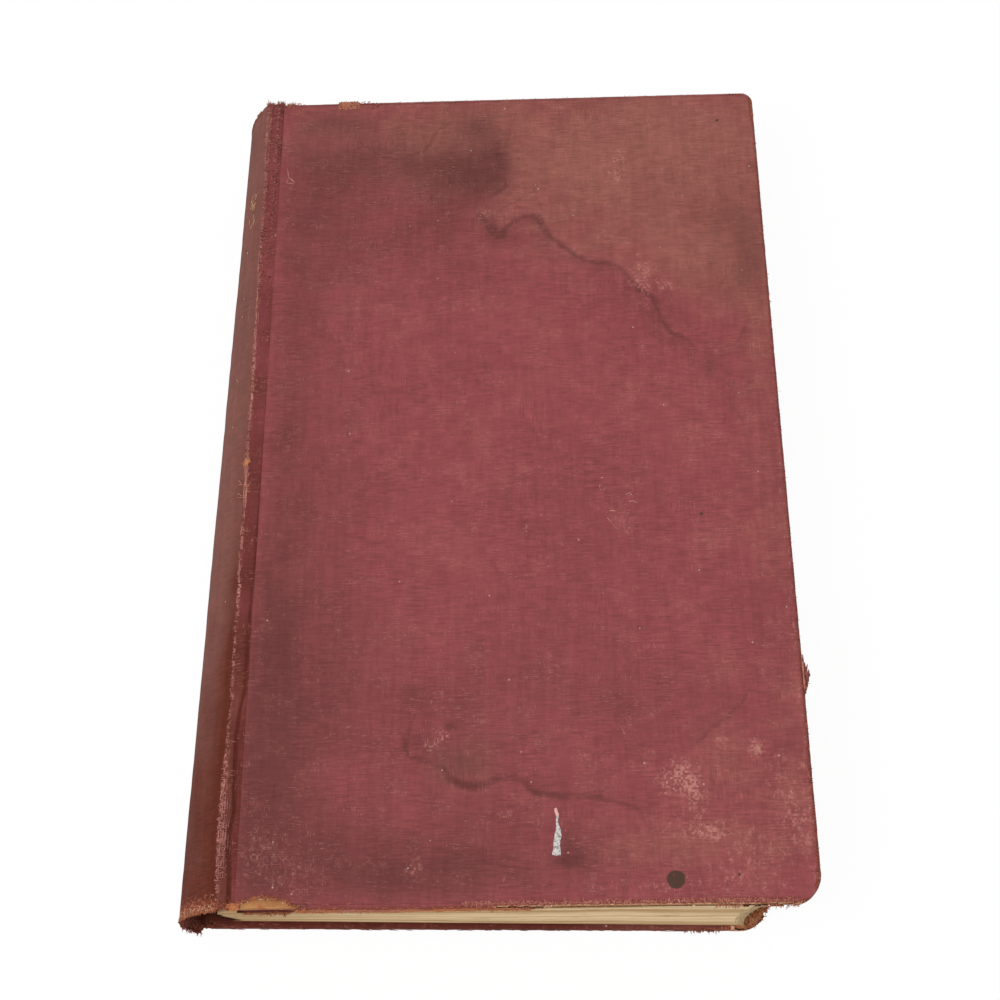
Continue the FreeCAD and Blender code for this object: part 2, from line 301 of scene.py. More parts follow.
def leaf_edge_finish():
    paper = Finish("leaf_edges")
    place = paper.stored("place").outputs["Vector"]
    along, height, side = paper.split(place)[:3]
    # The edge is banded gathering by gathering: partly the paper's own tone, partly painted light and shade
    # of the warped leaves; a slow noise bends the bands
    warp = paper.grain(place, (38.0, 30.0, 1.0), 1.0)
    bent = paper.sum("MULTIPLY_ADD", warp, 5.0, height)
    level = paper.node("ShaderNodeCombineXYZ", {0: along, 1: bent, 2: side}).outputs[0]
    bands = paper.grain(level, (260.0, 1.5, 1.0), 2.0)
    leaves = paper.grain(level, (90.0, 0.22, 1.0), 2.0, 0.7)
    blots = paper.grain(place, (7.0, 2.5, 1.0), 3.0)
    colour = paper.mixed(paper.steps(bands, 0.40, 0.60), rgb(0.48, 0.305, 0.15), rgb(0.83, 0.64, 0.40))
    colour = paper.stain(colour, leaves, 0.3, 0.7, rgb(0.42, 0.28, 0.14), 0.4)
    colour = paper.stain(colour, blots, 0.56, 0.76, rgb(0.34, 0.19, 0.085), 0.45)
    # Towards the back: a browner tone, and near-black painted shade of the hollow behind the spine, ragged
    # by the blots
    shade_and_tone = paper.stored("wear").outputs["Alpha"]
    stain = paper.sway(blots, 0.6, shade_and_tone)
    toned = paper.split(paper.stored("wear").outputs["Color"])[0]
    colour = paper.mixed(paper.times(toned, 0.6), colour, rgb(0.38, 0.22, 0.10))
    colour = paper.stain(colour, stain, 0.2, 0.8, rgb(0.016, 0.001, 0.0005))
    normal = paper.bump(leaves, 0.12)
    return paper.lay_on(colour, 0.9, normal, gloss=0.03)


# How far the lowest leaf lies out to the spine from under the topmost one
def block_lean(y):
    return BLOCK_LEAN_TAIL + (BLOCK_LEAN_HEAD - BLOCK_LEAN_TAIL) * (y - LEAF_TAIL) / (LEAF_HEAD - LEAF_TAIL)


# The outline of one level of the block: its points, their place for the finish, a browner tone towards
# the back and painted shade of the hollow at the spine
def leaf_ring(height, inset, tail_count, side_count):
    share = (height - BLOCK_BOTTOM) / (BLOCK_TOP - BLOCK_BOTTOM)

    def corners(y):
        lean = block_lean(y)
        back = arc_x(LEAF_BACK - lean, BLOCK_BOTTOM, LEAF_BACK, BLOCK_TOP, BACK_ROUND, height)
        fore = arc_x(LEAF_FORE - lean, BLOCK_BOTTOM, LEAF_FORE, BLOCK_TOP, EDGE_HOLLOW, height)
        return back, fore

    across = np.linspace(0, 1, tail_count, endpoint=False)
    upward = np.linspace(LEAF_TAIL, LEAF_HEAD, side_count, endpoint=False)
    downward = np.linspace(LEAF_HEAD, LEAF_TAIL, side_count, endpoint=False)
    back, fore = corners(LEAF_TAIL)
    tail = np.stack([back + (fore - back) * across, np.full(tail_count, LEAF_TAIL)], 1)
    back_head, fore_head = corners(LEAF_HEAD)
    head = np.stack([fore_head + (back_head - fore_head) * across, np.full(tail_count, LEAF_HEAD)], 1)
    fore_edge = np.stack([corners(upward)[1], upward], 1)
    back_edge = np.stack([corners(downward)[0], downward], 1)
    outline = np.concatenate([tail, fore_edge, head, back_edge])
    middle = np.array([(LEAF_BACK + LEAF_FORE) / 2, (LEAF_TAIL + LEAF_HEAD) / 2])
    half = np.array([(LEAF_FORE - LEAF_BACK) / 2, (LEAF_HEAD - LEAF_TAIL) / 2])
    outline = middle + (outline - middle) * (1 - inset / half)
    outline[:, 1] += (1 - share) * (LEAF_SLIP - LEAF_TURN * outline[:, 0])
    lift = 4 * share * (1 - share) * 0.4 * patchy(np.arange(len(outline)), height, 9, 3)
    points = np.column_stack([outline, height + lift])
    along = np.cumsum(np.linalg.norm(np.diff(outline, axis=0, prepend=outline[-1:]), axis=1))
    side = np.repeat([0.0, 40.0, 80.0, 120.0], [tail_count, side_count, tail_count, side_count])
    place = np.column_stack([along, np.full(len(outline), height), side])
    back_x = np.interp(outline[:, 1], (LEAF_TAIL, LEAF_HEAD),
                       (LEAF_BACK - BLOCK_LEAN_TAIL, LEAF_BACK - BLOCK_LEAN_HEAD))
    shade_and_tone = np.zeros((len(outline), 4))
    # Alpha: painted shade of the hollow at the back of the leaves, reaching further in towards the bottom;
    # red: a browner tone towards the back
    shade_and_tone[:, 3] = np.clip(0.5 - (outline[:, 0] - back_x - 1.2 + 8.0 * share) / 1.6, 0, 1)
    shade_and_tone[:, 0] = np.exp(-np.clip(outline[:, 0] - 2, 0, None) / 14)
    return [np.vstack([rows, rows[:1]]) for rows in (points, place, shade_and_tone)]


def bind_leaves():
    chance = np.random.default_rng(11)
    thicknesses = chance.uniform(0.6, 1.4, LEAF_GROUPS)
    levels = BLOCK_BOTTOM + np.concatenate([[0], np.cumsum(thicknesses)]) / thicknesses.sum() * (
        BLOCK_TOP - BLOCK_BOTTOM)
    rings = []
    places = []
    shades_and_tones = []
    for group in range(LEAF_GROUPS):
        low = levels[group]
        high = levels[group + 1]
        inset = chance.uniform(0.0, 0.16)
        valley = 0.45 if group % LEAVES_IN_GATHERING == LEAVES_IN_GATHERING - 1 else 0.2
        steps = [(0.14, inset), (0.86, inset), (1.0, inset + valley)]
        if group == 0:
            steps.insert(0, (0.0, inset))
        if group == LEAF_GROUPS - 1:
            steps[-1] = (1.0, inset)
        for share, depth in steps:
            ring, place, shade_and_tone = leaf_ring(low + (high - low) * share, depth, 56, 84)
            rings.append(ring)
            places.append(place)
            shades_and_tones.append(shade_and_tone)
    grid = {"points": np.array(rings), "place": np.array(places), "wear": np.array(shades_and_tones)}
    return close_ends(join_grids("leaves", [grid]))


leaves = bind_leaves()
leaves.data.materials.append(leaf_edge_finish())
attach(leaves, "book_block")
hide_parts("text_block")


# Mull and lining: open cotton gauze glued to the rounded back of the leaves, with two plies of brown
# paper over it. Both stay as constructed and show only at the ends of the spine; towards the tail they
# are painted a near-black red, the shade of the hollow there.
GAUZE_TURN = 5.2


def mull_finish():
    gauze = Finish("mull_gauze")
    place = gauze.solid_place()
    y, z = gauze.split(place)[1:3]
    across = gauze.sum("SINE", gauze.times(z, GAUZE_TURN))
    along = gauze.sum("SINE", gauze.times(y, GAUZE_TURN))
    threads = gauze.sum("MAXIMUM", across, along)
    dirt = gauze.grain(place, (9, 14, 9), 3.0)
    colour = gauze.mixed(gauze.steps(threads, -0.2, 0.8), rgb(0.15, 0.08, 0.04), rgb(0.34, 0.24, 0.15))
    colour = gauze.stain(colour, dirt, 0.45, 0.75, rgb(0.13, 0.06, 0.03), 0.5)
    # Painted shade of the hollow: near-black red towards the tail end
    colour = gauze.stain(colour, y, -90, -98, rgb(0.075, 0.008, 0.005), 0.95)
    return gauze.lay_on(colour, 0.95, gauze.bump(threads, 0.1), gloss=0.03)


def lining_finish():
    paper = Finish("lining_paper")
    place = paper.solid_place()
    fibres = paper.grain(place, (1.2, 5.0, 1.2), 4.0, 0.7)
    dirt = paper.grain(place, (12, 20, 12), 3.0)
    colour = paper.mixed(paper.steps(fibres, 0.3, 0.7), rgb(0.16, 0.095, 0.05), rgb(0.27, 0.17, 0.092))
    colour = paper.stain(colour, dirt, 0.42, 0.7, rgb(0.10, 0.058, 0.032), 0.6)
    y = paper.split(place)[1]
    # Painted shade of the hollow: near-black red towards the tail end
    colour = paper.stain(colour, y, -90, -98, rgb(0.070, 0.007, 0.004), 0.95)
    return paper.lay_on(colour, 0.92, paper.bump(fibres, 0.08), gloss=0.03)


for node, finish in (("mull", mull_finish), ("spine_lining", lining_finish)):
    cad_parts[node].data.materials.clear()
    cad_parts[node].data.materials.append(finish())


# The case, as it lies after years of use: how far the back cover has slipped at each station, where
# the shoulder ridge runs, and how deep the cloth is pressed into the groove beside each board.
LEAN_TAIL = 8.7
LEAN_HEAD = 5.4
BULGE_TAIL = 5.8
BULGE_HEAD = 4.2
JOINT_WIDTH = 3.9
BACK_SHIFT = 0.5
CLOTH = 0.4
CLOTH_LIP = 0.25
BOARD = 2.6
COVER_THICKNESS = 2 * CLOTH + BOARD
GROOVE_STATIONS = (0, 7, 11, 15, 18, 21, 28, 37, 43, 48, 68, 90, 130, 170, 210)
GROOVE_LINE = (-0.9, -1.2, -1.6, -1.9, -1.5, -1.0, -1.4, -1.6, -1.3, -0.4, -0.3, 0.4, 0.6, 0.5, 0.0)
GROOVE_DEPTH = (0.6, 0.5, 0.5, 0.5, 0.5, 0.5, 0.5, 0.45, 0.38, 0.3, 0.24, 0.2, 0.18, 0.16, 0.16)
BACK_TURN = math.asin((LEAN_TAIL - LEAN_HEAD) / COVER_HEIGHT)


def lean_at(y):
    return LEAN_TAIL + (LEAN_HEAD - LEAN_TAIL) * np.asarray(y, float) / COVER_HEIGHT


def bulge_at(y):
    return BULGE_TAIL + (BULGE_HEAD - BULGE_TAIL) * np.asarray(y, float) / COVER_HEIGHT


# Falls off from 1 to nothing over a few times the given width
def bell(distance, width):
    return np.exp(-(distance / width) ** 2)


def groove_at(x, y):
    line = np.interp(y, GROOVE_STATIONS, GROOVE_LINE)
    from_line = x - line
    pressed = np.interp(y, GROOVE_STATIONS, GROOVE_DEPTH)
    return pressed * (bell(from_line, 0.5) + 0.25 * bell(from_line - 1.3, 1.6))


# How far the glued cloth of a cover dips under its plane
def cover_dip(x, y):
    from_edge = np.minimum(np.minimum(x, COVER_WIDTH - x), np.minimum(y, COVER_HEIGHT - y))
    sag = 0.07 + 0.07 * patchy(x, y, 27, 31) + 0.03 * patchy(x, y, 6, 32)
    return sag * np.clip(from_edge / 5, 0, 1) + groove_at(x, y)


# Turns points given as (from the spine edge, from the tail, depth under the outer face) of a cover
# into the lengths of the book
def on_cover(points, side):
    x, y, depth = points[..., 0], points[..., 1], points[..., 2]
    if side == "front":
        return np.stack([x, y, BOOK_THICKNESS - depth], -1)
    across = -LEAN_TAIL + x * math.cos(BACK_TURN) + y * math.sin(BACK_TURN)
    along = BACK_SHIFT - x * math.sin(BACK_TURN) + y * math.cos(BACK_TURN)
    return np.stack([across, along, depth], -1)


# Boards: two cards of pressed straw board, square at the spine and worn round at the fore edge
# corners. The cloth is glued over them. Where it is gone the card shows, stained by the dye.
CORNER_TAIL = 6.5
CORNER_HEAD = 3.0
BOARD_ARRIS = 0.9
BOARD_EDGE = 0.2


# The rim of a cover at an inset from its edges: positions and outward directions, from the spine
# edge along the tail, up the fore edge and back along the head
def cover_rim(inset, tail_x, tail_turn, fore_y, head_turn, head_x):
    tail_radius = max(CORNER_TAIL - inset, 0.0)
    head_radius = max(CORNER_HEAD - inset, 0.0)
    tail_room = max(CORNER_TAIL, inset)
    head_room = max(CORNER_HEAD, inset)
    tail = [(min(x, COVER_WIDTH - tail_room), inset, 0.0, -1.0) for x in tail_x]
    low = [(
        COVER_WIDTH - tail_room + tail_radius * math.cos(turn), tail_room + tail_radius * math.sin(turn),
        math.cos(turn), math.sin(turn)) for turn in tail_turn]
    fore = [(
        COVER_WIDTH - inset, min(max(y, tail_room), COVER_HEIGHT - head_room), 1.0, 0.0) for y in fore_y]
    high = [(
        COVER_WIDTH - head_room + head_radius * math.cos(turn),
        COVER_HEIGHT - head_room + head_radius * math.sin(turn),
        math.cos(turn), math.sin(turn)) for turn in head_turn]
    head = [(min(x, COVER_WIDTH - head_room), COVER_HEIGHT - inset, 0.0, 1.0) for x in head_x]
    return np.array(tail + low + fore + high + head)


def board_finish():
    card = Finish("straw_board")
    place = card.stored("place").outputs["Vector"]
    plies = card.grain(place, (6.0, 6.0, 0.28), 3.0, 0.6)
    fibres = card.grain(place, (0.35, 0.35, 0.2), 3.0, 0.7)
    dye = card.grain(place, (3.5, 2.5, 3.0), 2.0)
    colour = card.mixed(card.steps(plies, 0.32, 0.68), rgb(0.40, 0.165, 0.058), rgb(0.57, 0.285, 0.105))
    colour = card.stain(colour, fibres, 0.45, 0.7, rgb(0.26, 0.095, 0.030), 0.7)
    colour = card.stain(colour, dye, 0.5, 0.68, rgb(0.36, 0.085, 0.030), 0.7)
    return card.lay_on(colour, 0.95, card.bump(fibres, 0.25, card.bump(plies, 0.3)))


def press_board(side):
    quarter = np.linspace(-math.pi / 2, 0, 12)
    tail_x = np.linspace(BOARD_EDGE + 0.5, COVER_WIDTH - CORNER_TAIL, 130)[:-1]
    fore_y = np.linspace(CORNER_TAIL, COVER_HEIGHT - CORNER_HEAD, 190)[1:-1]
    head_x = np.linspace(BOARD_EDGE + 0.5, COVER_WIDTH - CORNER_HEAD, 130)[::-1][1:]
    spine_y = np.linspace(COVER_HEIGHT - 1.2, 1.2, 150)
    turns = np.linspace(0, math.pi / 2, 6)
    section = [(BOARD_ARRIS * (1 - math.sin(turn)), BOARD_ARRIS * (1 - math.cos(turn))) for turn in turns]
    section += [(0.0, BOARD / 2)]
    section += [(inset, BOARD - depth) for inset, depth in section[:-1][::-1]]
    rings = []
    for inset, depth in section:
        rim = cover_rim(CLOTH + 0.03 + inset, tail_x, quarter, fore_y, quarter + math.pi / 2, head_x)[:, :2]
        spine = np.column_stack([np.full(len(spine_y), BOARD_EDGE + inset), spine_y])
        outline = np.vstack([rim, spine, rim[:1]])
        frayed = 0.14 * patchy(outline[:, 0] + outline[:, 1], depth * 3 + outline[:, 1], 1.1, 21)
        middle = np.array([COVER_WIDTH / 2, COVER_HEIGHT / 2])
        outward = np.sign(outline - middle)
        near_edge = np.minimum(np.abs(outline - middle), 1.0)
        worn = outline - outward * near_edge * np.abs(frayed)[:, None]
        pressed = groove_at(worn[:, 0], worn[:, 1]) * max(0.0, 1 - depth / 1.4)
        rings.append(np.column_stack([worn, CLOTH + depth + pressed]))
    rings = np.array(rings)
    grid = {"points": on_cover(rings, side), "place": rings, "turned": True}
    return close_ends(join_grids(side + "_board_card", [grid], flip=side == "back"))


straw_board = board_finish()
for side in ("front", "back"):
    board = press_board(side)
    board.data.materials.append(straw_board)
    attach(board, side + "_cover")
    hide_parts(side + "_board")


# Spine inlay: a strip of thin card glued inside the cloth over the hollow back. It stays as
# constructed and shows at the tail, where the cloth has worn away. Inside the hollow near the tail it
# is painted a near-black red, the shade there, while its cut end keeps the card's colour.
def inlay_finish():
    card = Finish("inlay_card")
    place = card.solid_place()
    fibres = card.grain(place, (0.5, 3.0, 0.5), 3.0, 0.7)
    dye = card.grain(place, (4, 5, 4), 2.0)
    colour = card.mixed(card.steps(fibres, 0.3, 0.7), rgb(0.30, 0.15, 0.06), rgb(0.50, 0.29, 0.125))
    colour = card.stain(colour, dye, 0.45, 0.7, rgb(0.26, 0.075, 0.035), 0.8)
    y = card.split(place)[1]
    # Painted shade of the hollow near the tail, leaving the cut end of the card as it is
    hollow_shade = card.times(card.steps(y, -104.9, -104.2), card.steps(y, -80, -95, 0.0, 0.95))
    colour = card.mixed(hollow_shade, colour, rgb(0.055, 0.006, 0.004))
    return card.lay_on(colour, 0.95, card.bump(fibres, 0.12), gloss=0.03)


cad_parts["spine_inlay"].data.materials.clear()
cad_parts["spine_inlay"].data.materials.append(inlay_finish())


# Covering cloth: one piece of maroon cotton book cloth, starched and dyed, glued over both boards and
# the inlay and turned in at all edges. It is faded, water-stained and worn through to the threads
# along the ridge and the edges. The thread is near half a millimetre from crown to crown.
THREAD_PITCH = 0.53
DYE_RED = rgb(0.262, 0.062, 0.066)
DYE_BROWN = rgb(0.272, 0.094, 0.074)
SPINE_BROWN = rgb(0.186, 0.071, 0.056)
SOIL = rgb(0.132, 0.038, 0.036)
# The next two soil colours darken the spine, joint strips and back cover with dirt and also with painted
# shade: in the groove, beside the ridge and at the hollow by the spine
GRIME_AND_SHADE = rgb(0.100, 0.020, 0.010)
EDGE_GRIME_AND_SHADE = rgb(0.075, 0.013, 0.005)
RUBBED = rgb(0.48, 0.200, 0.172)
BARE_PIT = rgb(0.205, 0.045, 0.028)
BARE_THREAD = rgb(0.42, 0.125, 0.065)
BARE_BROWN = rgb(0.36, 0.135, 0.060)
BARE_TAN = rgb(0.66, 0.40, 0.24)
SPOT = rgb(0.066, 0.040, 0.028)


def cloth_finish(name, main_dye, faded_dye, soil_dye, flecks=0.36):
    cloth = Finish(name)
    place = cloth.stored("place").outputs["Vector"]
    wear = cloth.stored("wear").outputs
    soil, rub, bare = cloth.split(wear["Color"])[:3]
    fade = wear["Alpha"]
    line_distance, line_depth, spot_distance = cloth.split(cloth.stored("tide").outputs["Vector"])[:3]
    x, y = cloth.split(place)[:2]

    broad = cloth.grain(place, (30, 26, 30), 3.0)
    clouds = cloth.grain(place, (9.0, 8.0, 9.0), 4.0, 0.55)
    mottle = cloth.grain(place, (4.5, 4.0, 5.0), 4.0, 0.6)
    across = cloth.grain(place, (5.0, 0.34, 4.0), 3.0, 0.7)
    along = cloth.grain(place, (0.38, 4.2, 4.0), 3.0, 0.7)
    frayed = cloth.grain(place, (0.8, 0.8, 0.8), 4.0, 0.75)

    # The weave: lines of thread both ways, which the crowns interrupt
    turns = 2 * math.pi / THREAD_PITCH
    warp = cloth.sum("SINE", cloth.sum("MULTIPLY_ADD", mottle, 2.0, cloth.times(x, turns)))
    fill = cloth.sum("SINE", cloth.sum("MULTIPLY_ADD", mottle, 2.0, cloth.times(y, turns)))
    crown = cloth.sum("MULTIPLY_ADD", cloth.times(warp, fill), 0.5, 0.5)
    tick_across = cloth.grain(place, (1.7, 0.26, 2.0), 1.0)
    tick_along = cloth.grain(place, (0.26, 1.7, 2.0), 1.0)
    ticks = cloth.sum("MAXIMUM", tick_across, cloth.times(tick_along, 0.97))
    lattice = cloth.sum("MAXIMUM", warp, fill)
    ticks = cloth.steps(cloth.sum("MULTIPLY_ADD", lattice, 0.07, ticks), 0.50, 0.66)
    lively = cloth.steps(cloth.grain(place, (11, 16, 14), 3.0), 0.4, 0.62, 0.3, 1.0)
    slubs = cloth.mixed(cloth.steps(cloth.grain(place, (19, 8, 14), 2.0), 0.28, 0.5), along, across)
    slubs = cloth.sway(slubs, lively, 0.5)

    fading = cloth.sway(broad, 1.0, fade)
    fading = cloth.sway(clouds, 1.0, fading)
    colour = cloth.mixed(cloth.steps(fading, 0.0, 1.0), main_dye, faded_dye)
    bands = cloth.grain(place, (1.5, 17.0, 4.0), 2.0)
    shade = cloth.steps(slubs, 0.34, 0.66, 0.83, 1.17)
    for value, low, high, dark, pale in (
        (bands, 0.3, 0.7, 0.95, 1.05), (cloth.each_thread(place, (2.3, 0.5, 9)), 0, 1, 0.95, 1.05),
        (cloth.each_thread(place, (0.5, 1.7, 9)), 0, 1, 0.97, 1.03), (broad, 0.3, 0.7, 0.93, 1.06),
        (mottle, 0.3, 0.7, 0.95, 1.05),
    ):
        shade = cloth.times(shade, cloth.steps(value, low, high, dark, pale))
    # Raised crowns lighter and the pits between them darker: painted light and shade of the weave relief,
    # stronger where the weave is more open
    open_weave = cloth.steps(cloth.grain(place, (14, 11, 14), 3.0), 0.42, 0.62, 0.35, 1.0)
    raised = cloth.times(cloth.sum("SUBTRACT", crown, 0.5), open_weave)
    shade = cloth.times(shade, cloth.sum("MULTIPLY_ADD", raised, 0.26, 1.0))

    # Water stains: a dark line where the water stopped, a wash behind it, and soft blotches
    ragged = cloth.grain(place, (2.4, 2.2, 2.4), 4.0, 0.6)
    bent = cloth.sway(ragged, 2.2, line_distance)
    width = cloth.sum("MULTIPLY_ADD", line_depth, 1.15, 0.25)
    tide = cloth.steps(cloth.sum("DIVIDE", cloth.sum("ABSOLUTE", bent), width), 0.1, 1.25, 1.0, 0.0)
    wash = cloth.times(cloth.steps(bent, 0.0, 6.5, 0.42, 0.0), cloth.steps(bent, -0.5, 0.1))
    tide = cloth.times(cloth.sum("MAXIMUM", tide, wash), line_depth)
    # The soil channel carries dirt, and on the spine, joint strips and back cover edge also painted shade
    # of the groove, beside the ridge and of the hollow
    patches = cloth.sway(clouds, 1.1, soil)
    patches = cloth.times(cloth.steps(patches, 0.15, 0.75, 0.0, 0.5), cloth.steps(soil, 0.02, 0.3))
    patches = cloth.sum("MULTIPLY_ADD", soil, 0.62, patches)
    dirt = cloth.sum("MINIMUM", cloth.sum("MAXIMUM", tide, patches), 1.0)
    colour = cloth.mixed(cloth.times(dirt, 0.88), colour, soil_dye)
    grey = cloth.node("ShaderNodeCombineColor", {0: shade, 1: shade, 2: shade}).outputs[0]
    colour = cloth.mixed(1.0, colour, grey, "MULTIPLY")

    # Rubbed cloth: the thread crowns have lost their dye
    chafe = cloth.sum("SUBTRACT", cloth.grain(place, (1.4, 2.4, 2.0), 4.0, 0.75), 0.5)
    scuffed = cloth.steps(cloth.sum("MULTIPLY_ADD", chafe, 2.2, rub), 0.1, 1.05)
    scuffed = cloth.times(scuffed, cloth.steps(rub, 0.02, 0.2))
    crowns = cloth.steps(cloth.each_thread(place, (0.46, 0.46, 9)), 0.3, 0.75, 0.06, 1.3)
    scuffed = cloth.times(scuffed, cloth.times(crowns, cloth.sum("MULTIPLY_ADD", ticks, 0.3, 0.7)))
    scuffed = cloth.sum("MINIMUM", scuffed, 0.95)
    dashes = cloth.times(cloth.steps(tick_across, 0.6, 0.7), cloth.steps(clouds, 0.46, 0.62, 0.03, flecks))
    strokes = cloth.steps(mottle, 0.5, 0.62, 0.02, flecks * 0.8)
    strokes = cloth.times(cloth.steps(tick_along, 0.6, 0.7), strokes)
    scuffed = cloth.sum("MAXIMUM", scuffed, cloth.sum("MAXIMUM", dashes, strokes))
    colour = cloth.mixed(scuffed, colour, RUBBED)

    cells = cloth.node("ShaderNodeVectorMath", {0: place, 1: (0.24, 0.24, 0.24)}, operation="MULTIPLY")
    cells = cells.outputs[0]
    lint = cloth.node("ShaderNodeTexVoronoi", {"Vector": cells, "Scale": 1.0, "Randomness": 1.0})
    chosen = cloth.steps(cloth.split(lint.outputs["Color"])[0], 0.80, 0.84)
    speck = cloth.times(cloth.steps(lint.outputs["Distance"], 0.03, 0.07, 1.0, 0.0), chosen)
    colour = cloth.mixed(cloth.times(speck, 0.6), colour, rgb(0.60, 0.40, 0.36))

    # Threadbare cloth: first bare thread, then the card or paper behind it
    thin = cloth.sway(frayed, 1.9, bare)
    thin = cloth.times(thin, cloth.steps(bare, 0.02, 0.2))
    threads = cloth.mixed(ticks, BARE_PIT, BARE_THREAD)
    colour = cloth.stain(colour, thin, 0.2, 0.65, threads, 0.92)
    tan = cloth.mixed(cloth.steps(frayed, 0.35, 0.6), BARE_BROWN, BARE_TAN)
    colour = cloth.stain(colour, thin, 0.72, 1.05, tan)

    wobble = cloth.sway(mottle, 1.2, spot_distance)
    colour = cloth.mixed(cloth.steps(wobble, -0.15, 0.2, 0.93, 0.0), colour, SPOT)

    weave = cloth.sum("ADD", cloth.times(crown, 0.5), slubs)
    normal = cloth.bump(mottle, 0.12)
    normal = cloth.bump(weave, 0.10, normal)
    threadbare = cloth.times(ticks, cloth.steps(bare, 0.1, 0.5))
    normal = cloth.bump(threadbare, 0.25, normal)
    roughness = cloth.steps(slubs, 0.3, 0.7, 0.78, 0.95)
    return cloth.lay_on(colour, roughness, normal, gloss=0.12)


# A soft round spot
def blob(x, y, middle_x, middle_y, half_x, half_y):
    return np.exp(-((x - middle_x) / half_x) ** 2 - ((y - middle_y) / half_y) ** 2)


# Distance to a line of points, signed by the side, and the share of the line that has been passed
def along_line(x, y, line):
    line = np.array(line, float)
    lengths = np.linalg.norm(np.diff(line, axis=0), axis=1)
    passed = np.concatenate([[0], np.cumsum(lengths)]) / lengths.sum()
    best = np.full(x.shape, 1e9)
    signed = np.full(x.shape, FAR)
    share = np.zeros(x.shape)
    for i in range(len(lengths)):
        run = line[i + 1] - line[i]
        t = np.clip(((x - line[i, 0]) * run[0] + (y - line[i, 1]) * run[1]) / lengths[i] ** 2, 0, 1)
        off_x = x - line[i, 0] - t * run[0]
        off_y = y - line[i, 1] - t * run[1]
        distance = np.hypot(off_x, off_y)
        nearer = distance < best
        best = np.where(nearer, distance, best)
        signed = np.where(nearer, distance * np.sign(run[0] * off_y - run[1] * off_x + 1e-9), signed)
        share = np.where(nearer, passed[i] + t * (passed[i + 1] - passed[i]), share)
    return signed, share


# The same line with its corners cut off, twice
def rounded(line):
    line = np.array(line, float)
    for _ in range(2):
        near = line[:-1] * 0.75 + line[1:] * 0.25
        far = line[:-1] * 0.25 + line[1:] * 0.75
        line = np.concatenate([line[:1], np.stack([near, far], 1).reshape(-1, line.shape[1]), line[-1:]])
    return line


# Where the front cover has got wet, in millimetres from its tail corner at the spine: points along
# each tide line and how dark it is
TIDE_LINES = (
    (1, (
        (15, 200, 0.1), (18.6, 198.9, 0.5), (23.1, 194.3, 0.8), (28.9, 191, 0.85), (33.6, 192.1, 0.85),
        (38, 193.8, 0.7), (40.3, 199.9, 0.5), (43.4, 202, 0.6), (46.5, 203.8, 0.1),
    )),
    (1, (
        (62, 208, 0.0), (61.2, 205.6, 0.1), (57.7, 192, 0.6), (54.8, 187, 1.0), (59.4, 182.5, 0.9),
        (54.8, 179.2, 0.9), (51, 177, 0.3), (50.7, 175, 0.1),
    )),
    (-1, (
        (50.7, 174.1, 0.6), (52.7, 172.2, 1.0), (53.8, 169.8, 1.1), (56.5, 166.1, 1.3), (58.3, 169.1, 0.9),
        (60.3, 171.4, 0.8), (64.4, 172.8, 0.85), (66.9, 171.5, 0.9), (68.1, 167.6, 0.9), (72.3, 163.2, 0.8),
        (75.7, 160.2, 0.85), (79.2, 158.3, 0.85), (85.1, 157.8, 0.7), (88, 155.1, 0.5), (91.2, 149.2, 0.75),
        (94.8, 147.7, 0.85), (95.8, 141.6, 0.6), (97.5, 137.6, 0.8), (102.7, 135.2, 0.4), (105, 131, 0.1),
    )),
    (1, (
        (40.6, 46.6, 0.1), (38.7, 44.3, 0.6), (36.3, 40, 0.45), (35.1, 34.2, 0.9), (36.9, 32.2, 0.8),
        (41.7, 31, 0.8), (44.5, 29.4, 0.9), (46.3, 26.3, 1.0), (50.8, 25.6, 1.1), (52.7, 26.2, 1.0),
        (56.2, 27.9, 0.7), (60.9, 27.2, 0.6), (63, 24.3, 0.95), (65.8, 23.8, 1.0), (70.1, 23.3, 0.8),
        (73.9, 23.7, 0.7), (80.7, 21.9, 0.6), (85.8, 20.5, 0.5), (87.6, 14.7, 0.1),
    )),
    (1, (
        (43, 35.9, 0.1), (46.9, 35.8, 0.5), (51.5, 33.5, 0.5), (54.3, 33.9, 0.5), (56.9, 34.8, 0.45),
        (60.4, 36.5, 0.5), (64.5, 37.6, 0.5), (68.5, 38, 0.1),
    )),
    (1, (
        (96.5, 33.5, 0.1), (99, 34.6, 0.4), (102, 38, 0.45), (107, 41.5, 0.5), (110, 45, 0.4),
        (112, 49, 0.1),
    )),
    (1, (
        (113.3, 179, 0.1), (117.5, 174.3, 0.25), (119.8, 163.7, 0.2), (115.8, 157.3, 0.36),
        (111, 150.7, 0.36), (109, 146, 0.05),
    )),
    (-1, (
        (105.3, 138, 0.05), (109, 133.4, 0.2), (113.5, 133.5, 0.4), (116.2, 137.7, 0.5),
        (119.5, 146.1, 0.1),
    )),
    (1, (
        (36, 10.5, 0.1), (40, 7, 0.6), (42, 3, 0.5), (43, 1, 0.1),
    )),
)
